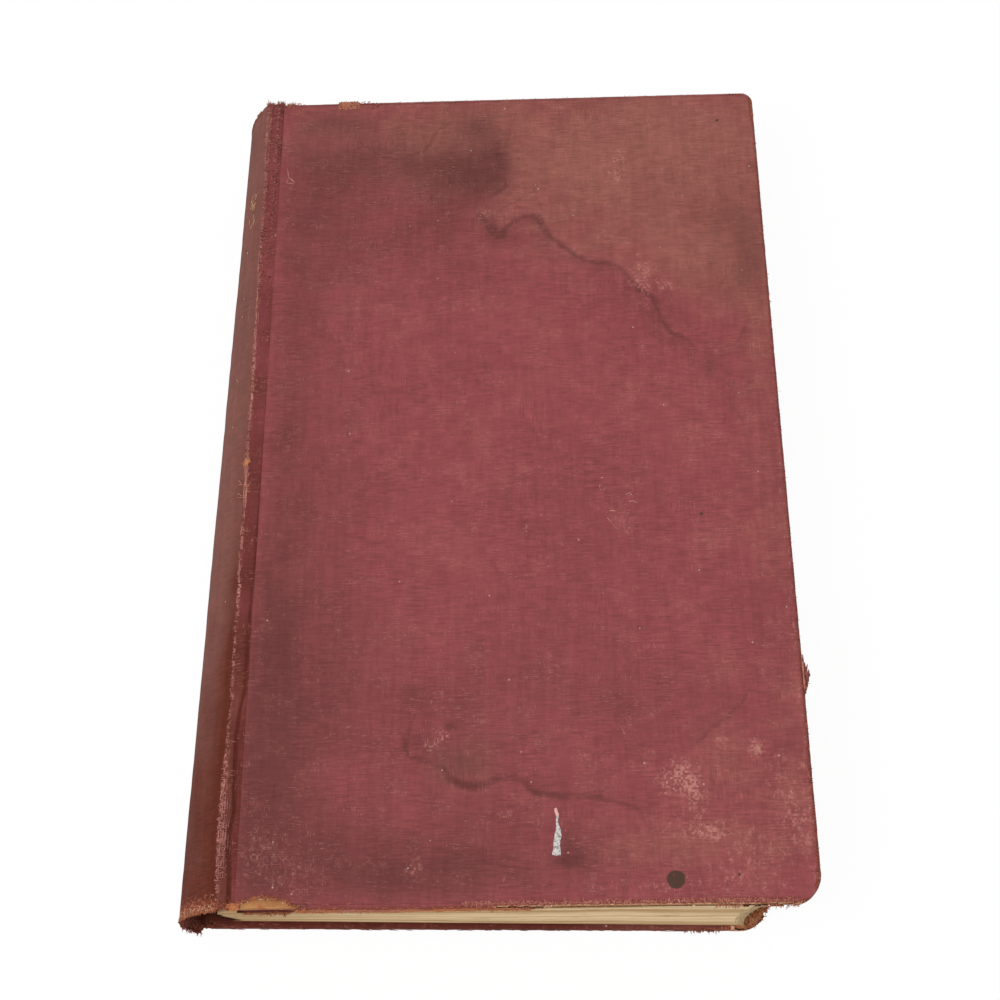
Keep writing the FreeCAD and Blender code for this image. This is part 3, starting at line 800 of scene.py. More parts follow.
# Soft areas on the front cover: middle, half widths, strength
FADED_AREAS = (
    (92, 190, 40, 30, 1.0), (112, 158, 16, 14, 0.6), (112, 26, 22, 20, 0.3), (120, 110, 7, 80, 0.35),
    (20, 197, 20, 14, 0.6), (47, 195, 14, 15, 1.0), (48, 30, 9, 6, 0.8), (82, 12, 30, 8, 0.3),
)
SOILED_AREAS = (
    (50, 202, 7, 6, 0.42), (56, 190, 5, 9, 0.5), (45, 190, 8, 8, 0.4), (36, 188, 7, 5, 0.28),
    (16, 204, 9, 4, 0.3), (24, 193, 16, 9, 0.24), (48, 31.5, 7, 4.5, 0.3), (114, 172, 6, 12, 0.34),
    (118, 152, 5, 7, 0.38), (111, 147, 4, 3, 0.34), (119, 162, 4, 8, 0.3), (4, 60, 5, 70, 0.26),
    (4, 30, 6, 26, 0.3), (20, 14, 26, 12, 0.34), (48, 7, 20, 7, 0.36), (30, 6, 26, 6, 0.26),
    (69.8, 9.4, 3.4, 1.4, 0.5), (70.5, 14, 2, 4, 0.3), (7, 110, 9, 120, 0.24), (9, 182, 13, 30, 0.20),
    (20, 190, 16, 18, 0.2), (12, 40, 14, 34, 0.22), (16, 96, 10, 60, 0.14), (55.2, 168.6, 1.5, 1.5, 0.6),
    (54, 171.4, 2.4, 1.5, 0.4), (40, 35, 3.6, 3.4, 0.2), (49, 28.8, 5, 2.6, 0.16),
    (45.2, 39.2, 1.8, 1.0, 0.4), (51, 184, 5, 7, 0.36), (46, 180, 9, 9, 0.32), (57, 190, 3, 9, 0.2),
    (44, 170, 9, 5, 0.16), (74, 9, 5, 4, 0.26), (107, 128, 4, 4, 0.34), (111, 122, 4, 5, 0.3),
    (86, 150, 5, 5, 0.16), (96, 144, 3, 8, 0.2), (121, 120, 2, 60, 0.14), (30, 168, 26, 18, 0.24),
    (24, 120, 20, 50, 0.10), (30, 50, 40, 30, 0.22), (66, 44, 26, 14, 0.22), (96, 48, 22, 12, 0.12),
    (60, 16, 24, 10, 0.2), (75.6, 165, 8, 4, 0.2), (37, 47, 3, 2, 0.2),
)
RUBBED_AREAS = (
    (94.6, 27.6, 2.6, 3.6, 0.85), (97.6, 24.2, 2.2, 4.4, 0.8), (91.0, 25.4, 1.6, 3.4, 0.5),
    (111.2, 33.4, 1.7, 2.0, 0.95), (104.0, 34.8, 1.4, 1.7, 0.55), (100.4, 15.0, 4.2, 1.8, 0.5),
    (94, 16.5, 7, 3.0, 0.3), (108, 11, 9, 7, 0.30), (119.4, 17, 3.0, 7, 0.4), (91.5, 152.4, 2.6, 3.4, 0.55),
    (97.5, 151.0, 4.0, 1.8, 0.5), (93, 157, 4, 2.4, 0.34), (92, 146, 2.6, 2.0, 0.3), (115.5, 50, 4, 3, 0.2),
    (122, 60, 1.2, 120, 0.24), (43.5, 37, 2.0, 2.4, 0.45), (40.4, 34.6, 1.6, 2.0, 0.4),
    (52.6, 173.4, 2.0, 1.6, 0.6), (14, 7, 9, 6, 0.18), (28, 9, 6, 3, 0.14), (3, 14, 2.2, 10, 0.18),
    (8, 12, 5, 7, 0.18), (92, 4, 26, 3, 0.26), (100, 200, 20, 6, 0.12), (70, 100, 40, 60, 0.05),
    (116, 26, 4, 8, 0.28), (62, 198, 8, 5, 0.12), (85.6, 87.4, 2.4, 3.4, 0.3), (87.0, 190, 2.0, 3.4, 0.5),
    (86.6, 184, 2.2, 2.4, 0.5), (74.6, 31, 4.5, 3.5, 0.22), (83, 38, 3, 3, 0.22),
    (37.8, 9.0, 2.0, 3.0, 0.4), (57.4, 19.4, 2.6, 0.8, 0.4), (19.9, 128.7, 1.0, 1.0, 0.5),
    (62.4, 85.7, 0.8, 2.4, 0.4), (53, 126, 3, 8, 0.12), (101, 60, 6, 3, 0.14), (12, 163, 5, 6, 0.1),
)
SPOTS = (
    (92.6, 5.3, 1.9), (98.5, 96.4, 0.42), (102.7, 88.9, 0.36), (113.4, 201.0, 0.4), (101.2, 188.6, 0.3),
    (103.2, 188.5, 0.3), (112.6, 178.3, 0.3), (106, 6.2, 0.5), (89.5, 78.2, 0.25), (30.6, 168.3, 0.2),
)
# Worn runs of a cover's edge: from, to, how far the cloth has gone (1 is through to the board)
TAIL_WEAR = ((-4, 1.4, 0.7), (12, 25, 0.66), (25, 40, 0.56), (40, 56, 0.6), (54, 119, 1.15), (66, 106, 1.5))
TAIL_TOP_WEAR = ((-4, 25, 0.5), (25, 52, 0.26), (52, 104, 0.50), (100, 119, 0.72))
HEAD_WEAR = ((-4, 4, 0.6), (14.8, 19.5, 1.0), (19.5, 26, 0.4), (60, 110, 0.22), (116, 121, 0.7))
FORE_WEAR = (
    (0, 8, 0.75), (8, 40, 0.56), (36, 60, 0.5), (60, 110, 0.40), (110, 200, 0.40), (200, 210, 0.85),
)
BACK_TAIL_WEAR = ((-4, 8, 0.4), (8, 104, 0.2), (104, 118, 0.8))
BACK_FORE_WEAR = ((0, 14, 1.3), (14, 60, 0.34), (60, 196, 0.26), (196, 210, 0.8))
# The cloth has gone from the tail edge beside the spine up to this line
BARE_STATIONS = (0, 0.5, 2.6, 5, 7.7, 11, 12.6, 14)
BARE_LIMIT = (0, 1.4, 2.1, 2.6, 2.5, 1.6, 0.8, 0)


# How worn an edge is along its length, with soft ends to each run
def worn_along(runs, distance):
    worn = np.full(np.shape(distance), 0.16)
    for start, end, strength in runs:
        inside = np.clip(np.minimum(distance - start, end - distance) / 1.6 + 0.5, 0, 1)
        worn = np.maximum(worn, strength * inside)
    return worn


# The bare place at the tail, on the face and, where over is above nothing, over the edge
def tail_patch(x, y, over):
    limit = np.interp(x, BARE_STATIONS, BARE_LIMIT)
    from_line = np.where(over > 0, np.minimum(3.3, 4 * limit) - over, limit - y)
    return 1.5 * np.clip(from_line / 0.5 + 0.5, 0, 1) * (limit > 0.05)


# Soil, rubbing, fading and stain lines at places on a cover, first the front, then the unseen back
def front_marks(x, y):
    soil, rub, fade = [sum(blob(x, y, *area[:4]) * area[4] for area in areas)
                       for areas in (SOILED_AREAS, RUBBED_AREAS, FADED_AREAS)]
    distance = np.full(x.shape, FAR)
    depth = np.zeros(x.shape)
    for wash_side, line in TIDE_LINES:
        line = rounded(line)
        signed, share = along_line(x, y, line[:, :2])
        passed = np.concatenate([[0], np.cumsum(np.linalg.norm(np.diff(line[:, :2], axis=0), axis=1))])
        strength = np.interp(share, passed / passed[-1], line[:, 2]) * (np.abs(signed) < 8)
        signed = signed * wash_side
        nearer = (np.abs(signed) < np.abs(distance)) & (strength > 0)
        distance = np.where(nearer, signed, distance)
        depth = np.where(nearer, strength, depth)
    spot = np.min([np.hypot(x - at_x, y - at_y) - radius for at_x, at_y, radius in SPOTS], axis=0)
    return soil, rub, fade, np.stack([distance, depth, spot], -1)


def back_marks(x, y):
    soil = 0.3 + 0.3 * patchy(x, y, 34, 61)
    rub = np.clip(0.12 + 0.25 * patchy(x, y, 23, 62), 0, 1)
    fade = 0.55 + 0.4 * patchy(x, y, 55, 63)
    line = rounded(((20, 60, 0), (44, 74, 0), (60, 70, 0), (84, 88, 0), (104, 84, 0)))
    signed, share = along_line(x, y, line[:, :2])
    depth = 0.5 * np.clip(6 * np.minimum(share, 1 - share), 0, 1) * (np.abs(signed) < 6)
    return soil, rub, fade, np.stack([signed, depth, np.full(x.shape, FAR)], -1)


# Stations from 0 on: each run goes up to its end in steps of about the given length
def spaced(runs):
    stations = [0.0]
    for end, step in runs:
        count = max(1, round((end - stations[-1]) / step))
        stations += list(np.linspace(stations[-1], end, count + 1)[1:])
    return np.array(stations)


# Takes away the faces that are worn through, with a ragged edge: the patches are given as how strong
# and how long they are, first the broad ones and then the fine ones
def tear(grid, seed, level, broad, fine):
    across, y = grid["place"][..., 0], grid["place"][..., 1]
    torn = grid["wear"][..., 2] + broad[0] * patchy(across, y, broad[1], seed) + fine[0] * patchy(
        across, y, fine[1], seed + 1)
    gone = torn > level
    grid["keep"] = ~(gone[:-1, :-1] & gone[1:, :-1] & gone[:-1, 1:] & gone[1:, 1:])


CLOTH_ARRIS = 1.0
SPINE_EDGE = 0.12
TURN_IN = 15.0


# The cloth on the face of a board, as far as the arris
def cloth_on_face(side):
    front = side == "front"
    tail_runs, fore_runs = (TAIL_TOP_WEAR, FORE_WEAR) if front else (BACK_TAIL_WEAR, BACK_FORE_WEAR)
    width = COVER_WIDTH - CLOTH_ARRIS - SPINE_EDGE
    height = COVER_HEIGHT - 2 * CLOTH_ARRIS
    if front:
        columns = SPINE_EDGE + spaced(((3, 0.3), (30, 0.5), (width - 8, 0.62), (width, 0.45)))
        rows = CLOTH_ARRIS + spaced(((7, 0.36), (height - 6, 1.0), (height, 0.45)))
    else:
        columns = SPINE_EDGE + spaced(((width - 14, 1.4), (width, 0.45)))
        rows = CLOTH_ARRIS + spaced(((14, 0.45), (height - 5, 1.5), (height, 0.8)))
    flat_x, flat_y = np.meshgrid(columns, rows)
    x = flat_x.copy()
    y = flat_y.copy()
    tail_radius = CORNER_TAIL - CLOTH_ARRIS
    head_radius = CORNER_HEAD - CLOTH_ARRIS
    for radius, low, sign in ((tail_radius, CORNER_TAIL, -1), (head_radius, COVER_HEIGHT - CORNER_HEAD, 1)):
        centre_x = COVER_WIDTH - CLOTH_ARRIS - radius
        a = (flat_x - centre_x) / radius
        b = (flat_y - low) * sign / radius
        corner = (a > 0) & (b > 0)
        x = np.where(corner, centre_x + radius * a * np.sqrt(np.clip(1 - b ** 2 / 2, 0, 1)), x)
        y = np.where(corner, low + sign * radius * b * np.sqrt(np.clip(1 - a ** 2 / 2, 0, 1)), y)

    marks = front_marks if front else back_marks
    soil, rub, fade, tide = marks(x, y)
    edge_worn = np.maximum.reduce([
        worn_along(tail_runs, x) * bell(y - 0.4, 1.1),
        worn_along(HEAD_WEAR, x) * bell(COVER_HEIGHT - y - 0.2, 1.1),
        worn_along(fore_runs, y) * bell(COVER_WIDTH - x - 0.2, 1.0),
    ])
    if front:
        edge_worn = np.maximum(edge_worn, tail_patch(x, y, 0 * x))
    else:
        edge_worn = np.maximum(edge_worn, np.exp(-((x - 121) / 7) ** 4 - ((y - 1) / 8) ** 4))
    face = {
        "points": on_cover(np.stack([x, y, cover_dip(x, y)], -1), side),
        "place": np.stack([x, y, np.zeros(x.shape)], -1),
        "wear": np.stack([soil, rub, edge_worn, fade], -1),
        "tide": tide,
    }
    return x, y, face


# The cloth from the rim of the face over the board's edge and in under the endpaper
def cloth_turned_in(side, x, y):
    front = side == "front"
    tail_runs, fore_runs = (TAIL_WEAR, FORE_WEAR) if front else (BACK_TAIL_WEAR, BACK_FORE_WEAR)
    turns = np.linspace(0, math.pi / 2, 7)
    section = [(CLOTH_ARRIS * (1 - math.sin(turn)), CLOTH_ARRIS * (1 - math.cos(turn))) for turn in turns]
    section += [(0.0, 1.35), (0.0, 1.75), (0.0, 2.15), (0.0, 2.5)]
    section += [(0.9 * (1 - math.cos(turn)), 2.5 + 0.9 * math.sin(turn)) for turn in turns[1:]]
    section += [(inset, COVER_THICKNESS) for inset in (1.6, 2.6, 4.0, 6.0, 9.0, 12.0, TURN_IN)]
    passed = np.concatenate([[0], np.cumsum(np.linalg.norm(np.diff(section, axis=0), axis=1))])
    bottom = np.column_stack([x[0], y[0]])
    right = np.column_stack([x[:, -1], y[:, -1]])
    ceiling = np.column_stack([x[-1], y[-1]])[::-1]
    path = np.vstack([bottom, right[1:], ceiling[1:]])
    from_tail = path - (COVER_WIDTH - CORNER_TAIL, CORNER_TAIL)
    from_head = path - (COVER_WIDTH - CORNER_HEAD, COVER_HEIGHT - CORNER_HEAD)
    round_tail = (from_tail[:, 0] > 1e-6) & (from_tail[:, 1] < -1e-6)
    round_head = (from_head[:, 0] > 1e-6) & (from_head[:, 1] > 1e-6)
    low = ~round_tail & (path[:, 1] < CLOTH_ARRIS + 1e-6)
    high = ~round_head & (path[:, 1] > COVER_HEIGHT - CLOTH_ARRIS - 1e-6)
    fore_y = path[~(round_tail | round_head | low | high), 1]
    tail_turn, head_turn = [[math.atan2(at_y, at_x) for at_x, at_y in part]
                            for part in (from_tail[round_tail], from_head[round_head])]
    rim = np.array([cover_rim(inset, path[low, 0], tail_turn, fore_y, head_turn, path[high, 0])
                    for inset, deep in section])
    over = np.repeat(passed[:, None], rim.shape[1], 1)
    rim_x = rim[0, :, 0] + rim[..., 2] * over
    rim_y = rim[0, :, 1] + rim[..., 3] * over
    deep = np.repeat(np.array(section)[:, 1:], rim.shape[1], 1)
    start_depth = groove_at(rim[..., 0], rim[..., 1])
    crushed = 0.10 * patchy(rim_x + rim_y, over * 1.5 + rim_y, 1.6, 41)
    crushed = crushed * np.sin(np.pi * np.clip(over / 3.6, 0, 1))
    pushed_x = rim[..., 0] - rim[..., 2] * np.abs(crushed)
    pushed_y = rim[..., 1] - rim[..., 3] * np.abs(crushed)
    settle = np.clip(1 - over / 1.5, 0, 1)
    rim_points = np.stack([pushed_x, pushed_y, deep + start_depth * settle], -1)
    marks = front_marks if front else back_marks
    soil, rub, fade, tide = marks(np.clip(rim_x, 0, COVER_WIDTH), np.clip(rim_y, 0, COVER_HEIGHT))
    position = np.repeat(rim[:1], rim.shape[0], 0)
    on_tail = position[..., 3] < -0.5
    on_head = position[..., 3] > 0.5
    runs = np.where(on_tail, worn_along(tail_runs, position[..., 0]), np.where(
        on_head, worn_along(HEAD_WEAR, position[..., 0]), worn_along(fore_runs, position[..., 1])))
    arris = bell(over - 0.75, 0.75) + 0.7 * bell(over - 3.4, 0.7)
    if front:
        on_edge = np.clip((over - 0.2) / 0.7, 0, 1) * np.clip((4.6 - over) / 0.6, 0, 1)
        arris = np.where(on_tail, on_edge, arris)
    bare = runs * np.clip(arris, 0, 1)
    if front:
        bare = np.maximum(bare, on_tail * tail_patch(position[..., 0], 0 * over, over + 0.01))
    else:
        # Along the tail edge the back cloth is darker, most near the spine: dirt, with painted shade of the
        # dark hollow by the spine
        soil = soil + np.where(on_tail, 0.35 + 0.9 * np.exp(-position[..., 0] / 14), 0.2)
        torn = 1.25 * np.exp(-((rim[..., 0] - 121) / 8) ** 4 - ((rim[..., 1] - 1) / 9) ** 4) * (deep > 0.6)
        bare = np.maximum(bare, torn)
    return {
        "points": on_cover(rim_points, side),
        "place": np.stack([rim_x, rim_y, np.zeros(rim_x.shape)], -1),
        "wear": np.stack([soil, rub, bare, fade], -1),
        "tide": tide,
        "turned": True,
    }


def cover_cloth(side):
    x, y, face = cloth_on_face(side)
    edges = cloth_turned_in(side, x, y)
    for grid in (face, edges):
        tear(grid, 51, 1.0, (0.32, 0.9), (0.14, 0.4))
    return join_grids(side + "_cover_cloth", [face, edges], flip=side == "back", lip=CLOTH_LIP)


maroon_cloth = cloth_finish("maroon_cloth", DYE_RED, DYE_BROWN, SOIL)
grimy_shaded_cloth = cloth_finish("grimy_shaded_cloth", DYE_RED, DYE_BROWN, EDGE_GRIME_AND_SHADE)
for side in ("front", "back"):
    cloth = cover_cloth(side)
    cloth.data.materials.append(maroon_cloth if side == "front" else grimy_shaded_cloth)
    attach(cloth, side + "_cover")
    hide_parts(side + "_cloth")


# Spine of the case: the same cloth over the hollow back, faded brown by light, turned in over the
# inlay at head and tail, where it has frayed through.
SPINE_STEPS = 64
RIDGE_SETTLE = 0.26
RIDGE_STATIONS = (0, 10, 17, 26, 47, 62, 68, 80, 96, 105, 124, 152, 167, 180, 195, 210)
RIDGE_LINE = (
    -3.9, -4.2, -4.5, -4.1, -3.6, -3.8, -3.5, -3.7, -3.5, -3.8, -3.6, -3.9, -4.0, -3.8, -4.2, -4.2,
)
RIDGE_WEAR_STATIONS = (0, 6, 14, 24, 36, 60, 84, 94, 98, 107, 112, 130, 150, 165, 183, 192, 210)
RIDGE_WEAR = (0.7, 0.5, 0.62, 0.7, 0.5, 0.30, 0.36, 0.6, 0.75, 0.75, 0.5, 0.4, 0.5, 0.4, 0.6, 0.8, 0.9)


# Points on the round of the spine, from the front ridge (0) to the back one (1), and how far round
# they lie
def spine_arc(y, share, deeper=0.0):
    y, share = np.broadcast_arrays(np.asarray(y, float), np.asarray(share, float))
    lean = lean_at(y)
    rise = bulge_at(y)
    chord = np.hypot(BOOK_THICKNESS, lean)
    radius = (chord ** 2 / 4 + rise ** 2) / (2 * rise)
    inward = (radius - rise) / chord
    centre_x = inward * BOOK_THICKNESS - JOINT_WIDTH - lean / 2
    centre_z = BOOK_THICKNESS / 2 - inward * lean
    top_turn = np.arctan2(BOOK_THICKNESS - centre_z, -JOINT_WIDTH - centre_x)
    low_turn = np.arctan2(-centre_z, -JOINT_WIDTH - lean - centre_x) + 2 * np.pi
    turn = top_turn + (low_turn - top_turn) * share
    passed = (turn - top_turn) * radius
    left = (low_turn - turn) * radius
    settle = RIDGE_SETTLE * (bell(passed, 0.7) + bell(left, 0.7))
    length = radius - deeper - settle
    points = np.stack([centre_x + length * np.cos(turn), y, centre_z + length * np.sin(turn)], -1)
    return points, passed


# Wear and stains of the spine and of the joint strips, with painted shade in the groove and in a band
# beside the ridge. The ridge between them is the most worn.
def spine_marks(across, y):
    ridge = np.interp(y, RIDGE_STATIONS, RIDGE_LINE)
    worn = np.interp(y, RIDGE_WEAR_STATIONS, RIDGE_WEAR)
    groove = np.interp(y, GROOVE_STATIONS, GROOVE_LINE)
    in_strip = np.clip((across - ridge) / 0.4 + 1, 0, 1) * np.clip((groove + 0.6 - across) / 0.8, 0, 1)
    on_ridge = bell(across - ridge - 0.15, 0.34)
    ends = 0.84 * bell(y, 3.2) + 0.62 * bell(COVER_HEIGHT - y, 1.0)
    ends = ends * np.where(across > ridge, 0.62, 1.0)
    bare = np.maximum(0.3 * worn * on_ridge, ends)
    # Painted shade of the groove beside the board: a dark line in the soil channel, strongest near the tail
    deep = np.interp(y, (0, 20, 36, 46, 60, 110, 150, 210), (1.1, 1.0, 0.9, 0.5, 0.4, 0.3, 0.2, 0.2))
    deep = deep * (1 + 0.6 * patchy(across, y, 5, 91))
    soil = deep * bell(across - groove, 0.42)
    # Painted shade in a band on the spine just beside the ridge, strongest in the lower half
    beside = np.interp(y, (0, 16, 45, 60, 100, 150, 210), (0.3, 0.62, 0.85, 0.75, 0.16, 0.05, 0.0))
    soil = soil + beside * bell(across - ridge + 0.9, 0.9) * (across < ridge)
    soil = soil + np.interp(y, (0, 20, 60, 110, 150, 210), (0.60, 0.58, 0.62, 0.50, 0.40, 0.36)) * in_strip
    soil = soil + np.interp(y, (0, 12, 50, 60, 70), (0.42, 0.42, 0.2, 0.06, 0)) * (across < ridge)
    crest = 1.0 + 0.9 * patchy(across * 2, y, 7, 92)
    rub = 0.3 * worn * bell(across - ridge - 0.5, 0.6)
    rub = rub + 1.9 * worn * crest * bell(across - ridge - 0.1, 0.4)
    rub = rub + np.interp(y, (8, 14, 30, 40), (0, 0.6, 0.4, 0)) * bell(across + 3.4, 0.7)
    rub = rub + 0.3 * blob(across, y, -2.2, 12, 1.3, 6)
    rub = rub + 0.05 * bell(across + 12, 5)
    fade = np.interp(y, (0, 30, 60, 90, 130), (0.85, 0.68, 0.36, 0.06, 0.0)) * np.ones(across.shape)
    fade = fade + np.interp(y, (60, 140), (0.4, 0.1)) * bell(across - ridge + 2, 2) * (across < ridge)
    tide = np.stack([np.full(across.shape, FAR), np.zeros(across.shape), np.full(across.shape, FAR)], -1)
    return np.stack([soil, rub, bare, fade], -1), tide


# Points inwards from the nearer end of the case, and fades out away from it
def into_case(y):
    return np.where(y < COVER_HEIGHT / 2, 1, -1) * bell(np.minimum(y, COVER_HEIGHT - y), 1.2)


# How far the ends of the spine are eaten away
def nibbled_at(passed):
    return np.abs(0.5 * patchy(passed, 0 * passed, 1.3, 73) + 0.3 * patchy(passed, 0 * passed, 0.5, 74))


def spine_cloth():
    rows = spaced(((5, 0.36), (COVER_HEIGHT - 5, 0.9), (COVER_HEIGHT, 0.36)))
    share = np.linspace(0, 1, SPINE_STEPS + 1)
    y, part = np.meshgrid(rows, share, indexing="ij")
    passed = spine_arc(y, part)[1]
    creases = 0.10 * patchy(passed * 4, y / 3.0, 9, 71) + 0.05 * patchy(passed, y, 3, 72) - 0.10
    points, passed = spine_arc(y, part, -creases * np.sin(np.pi * part))
    points[..., 1] += into_case(y) * nibbled_at(passed)
    across = -JOINT_WIDTH - passed
    wear, tide = spine_marks(across, y)
    outer = {"points": points, "place": np.stack([across, y, 0 * y], -1), "wear": wear, "tide": tide,
             "turned": True}
    grids = [outer]
    for end, inward in ((0.0, 1), (COVER_HEIGHT, -1)):
        depths = [0.0, 0.2, 0.55, 0.95, 1.25, 1.4, 1.4, 1.4, 1.4, 1.4]
        offsets = [0.0, -0.02, 0.0, 0.05, 0.25, 0.6, 2.0, 5.0, 9.0, TURN_IN]
        fold_rows = []
        for depth, offset in zip(depths, offsets):
            ring, fold_passed = spine_arc(np.full(len(share), end + inward * offset), share, depth)
            ring[:, 1] += inward * nibbled_at(fold_passed) * max(0.0, 1 - offset / 3)
            fold_rows.append(ring)
        fold = np.array(fold_rows)
        turned_y = end - inward * np.repeat(np.cumsum([0, .2, .35, .4, .35, .4, 1.4, 3, 4, 6])[:, None],
                                            len(share), 1)
        fold_across = np.repeat(-JOINT_WIDTH - fold_passed[None], len(depths), 0)
        fold_wear, fold_tide = spine_marks(fold_across, np.clip(turned_y, 0, COVER_HEIGHT))
        fold_wear[..., 2] = np.maximum(0.35, fold_wear[..., 2] * np.exp(-np.abs(turned_y - end) / 1.5))
        grids.append({
            "points": fold, "place": np.stack([fold_across, turned_y, 0 * turned_y], -1),
            "wear": fold_wear, "tide": fold_tide, "turned": inward < 0,
        })
    for grid in grids:
        tear(grid, 75, 1.06, (0.34, 1.2), (0.16, 0.45))
    return join_grids("spine_case_cloth", grids, lip=CLOTH_LIP)


faded_cloth = cloth_finish("faded_spine_cloth", SPINE_BROWN, rgb(0.118, 0.028, 0.018), GRIME_AND_SHADE, 0.1)
spine = spine_cloth()
spine.data.materials.append(faded_cloth)
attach(spine, "book_block")
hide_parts("spine_cloth")


# Joint strips: the cloth from each shoulder ridge to the board's edge, the hinge of the cover.
JOINT_CLOTH = 0.35


# A thin sheet with its own thickness, from one skin of points; inward is the side it thickens to
def thick_sheet(name, skin, thickness, inward):
    points = skin["points"]
    down = np.gradient(points, axis=0)
    right = np.gradient(points, axis=1)
    normal = np.cross(down, right)
    normal /= np.maximum(np.linalg.norm(normal, axis=-1, keepdims=True), 1e-9)
    under = dict(skin)
    under["points"] = points + normal * thickness * inward
    grids = [dict(skin, turned=inward < 0), dict(under, turned=inward > 0)]
    for pick in (np.s_[:1], np.s_[-1:], np.s_[:, :1], np.s_[:, -1:]):
        axis = 0 if isinstance(pick, slice) else 1
        edge = {}
        for key in ("points", "place", "wear", "tide"):
            if key in skin:
                edge[key] = np.concatenate([skin[key][pick], under[key][pick]], axis)
        first = pick == np.s_[:1] or pick == np.s_[:, :1]
        edge["turned"] = (first != (axis == 1)) != (inward < 0)
        grids.append(edge)
    return join_grids(name, grids)


def joint_cloth(side):
    rows = spaced(((5, 0.36), (COVER_HEIGHT - 5, 0.9), (COVER_HEIGHT, 0.36)))
    columns = np.linspace(-JOINT_WIDTH, SPINE_EDGE, 17)
    y, x = np.meshgrid(rows, columns, indexing="ij")
    sunk = groove_at(x, y) + RIDGE_SETTLE * bell(x + JOINT_WIDTH, 0.7)
    sunk = sunk + (0.04 + 0.05 * patchy(x, y, 4, 81)) * np.clip((x + JOINT_WIDTH) * -x, 0, 1)
    wear, tide = spine_marks(x, y)
    shift = into_case(y) * np.abs(0.4 * patchy(x, 0 * x, 1.3, 82) + 0.3 * patchy(x, 0 * x, 0.5, 83))
    points = on_cover(np.stack([x, y + shift, sunk], -1), side)
    if side == "front":
        # Right of the groove the strip already lies on the board and shares its marks
        past_groove = np.clip((x - np.interp(y, GROOVE_STATIONS, GROOVE_LINE)) / 0.6, 0, 1)
        soil, rub, fade = front_marks(np.maximum(x, SPINE_EDGE), y)[:3]
        for channel, mark in ((0, soil + 0.02), (1, rub), (3, fade)):
            wear[..., channel] += (mark - wear[..., channel]) * past_groove
    skin = {"points": points, "place": np.stack([x, y, 0 * y], -1), "wear": wear, "tide": tide}
    return thick_sheet(side + "_joint_cloth", skin, JOINT_CLOTH, 1 if side == "front" else -1)


creased_cloth = cloth_finish("creased_joint_cloth", DYE_RED, DYE_BROWN, EDGE_GRIME_AND_SHADE, 0.5)


def bend_with_cover(piece, side):
    start = to_frame(on_cover(np.array([-JOINT_WIDTH, 100.0, 1.8]), side))
    end = to_frame(on_cover(np.array([0.0, 100.0, 1.8]), side))
    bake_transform(piece)


for side in ("front", "back"):
    joint = joint_cloth(side)
    joint.data.materials.append(creased_cloth)
    bend_with_cover(joint, side)


# Loose threads: where the cloth is worn through, the ends of its cotton threads stand out or lie
# about. Each is one or two tenths of a millimetre thick and moves with the cloth it comes out of.
THREAD_POINTS = 5


def thread_finish():
    cotton = Finish("bare_cotton")
    light, tan, grey = cotton.split(cotton.stored("wear").outputs["Color"])[:3]
    gilt = cotton.stored("wear").outputs["Alpha"]
    fibres = cotton.grain(cotton.stored("place").outputs["Vector"], (0.3, 0.3, 0.3), 3.0)
    colour = cotton.mixed(light, rgb(0.13, 0.020, 0.012), rgb(0.58, 0.250, 0.215))
    colour = cotton.mixed(tan, colour, rgb(0.60, 0.22, 0.075))
    colour = cotton.mixed(grey, colour, rgb(0.50, 0.42, 0.38))
    colour = cotton.mixed(gilt, colour, rgb(0.60, 0.36, 0.22))
    colour = cotton.stain(colour, fibres, 0.35, 0.65, rgb(0.10, 0.02, 0.012), 0.35)
    return cotton.lay_on(colour, 0.9, cotton.bump(fibres, 0.03), gloss=0.12)


# Positions over the front of the case from a length across it (0 at the board's edge, the ridge at
# minus the joint's width, the spine beyond it), a length from the tail and a height over the cloth
def on_case(across, y, lift):
    flat = np.maximum(across, -JOINT_WIDTH)
    sunk = np.where(flat > 0, cover_dip(np.maximum(flat, 0), y), groove_at(flat, y))
    sunk = sunk + RIDGE_SETTLE * bell(flat + JOINT_WIDTH, 0.7) * (flat < SPINE_EDGE)
    level = np.stack([flat, y, BOOK_THICKNESS - sunk + lift], -1)
    full = spine_arc(y, 1.0)[1]
    share = np.clip((-JOINT_WIDTH - across) / full, 0, 1)
    round_back = spine_arc(y, share, -lift)[0]
    return np.where((across < -JOINT_WIDTH)[..., None], round_back, level)


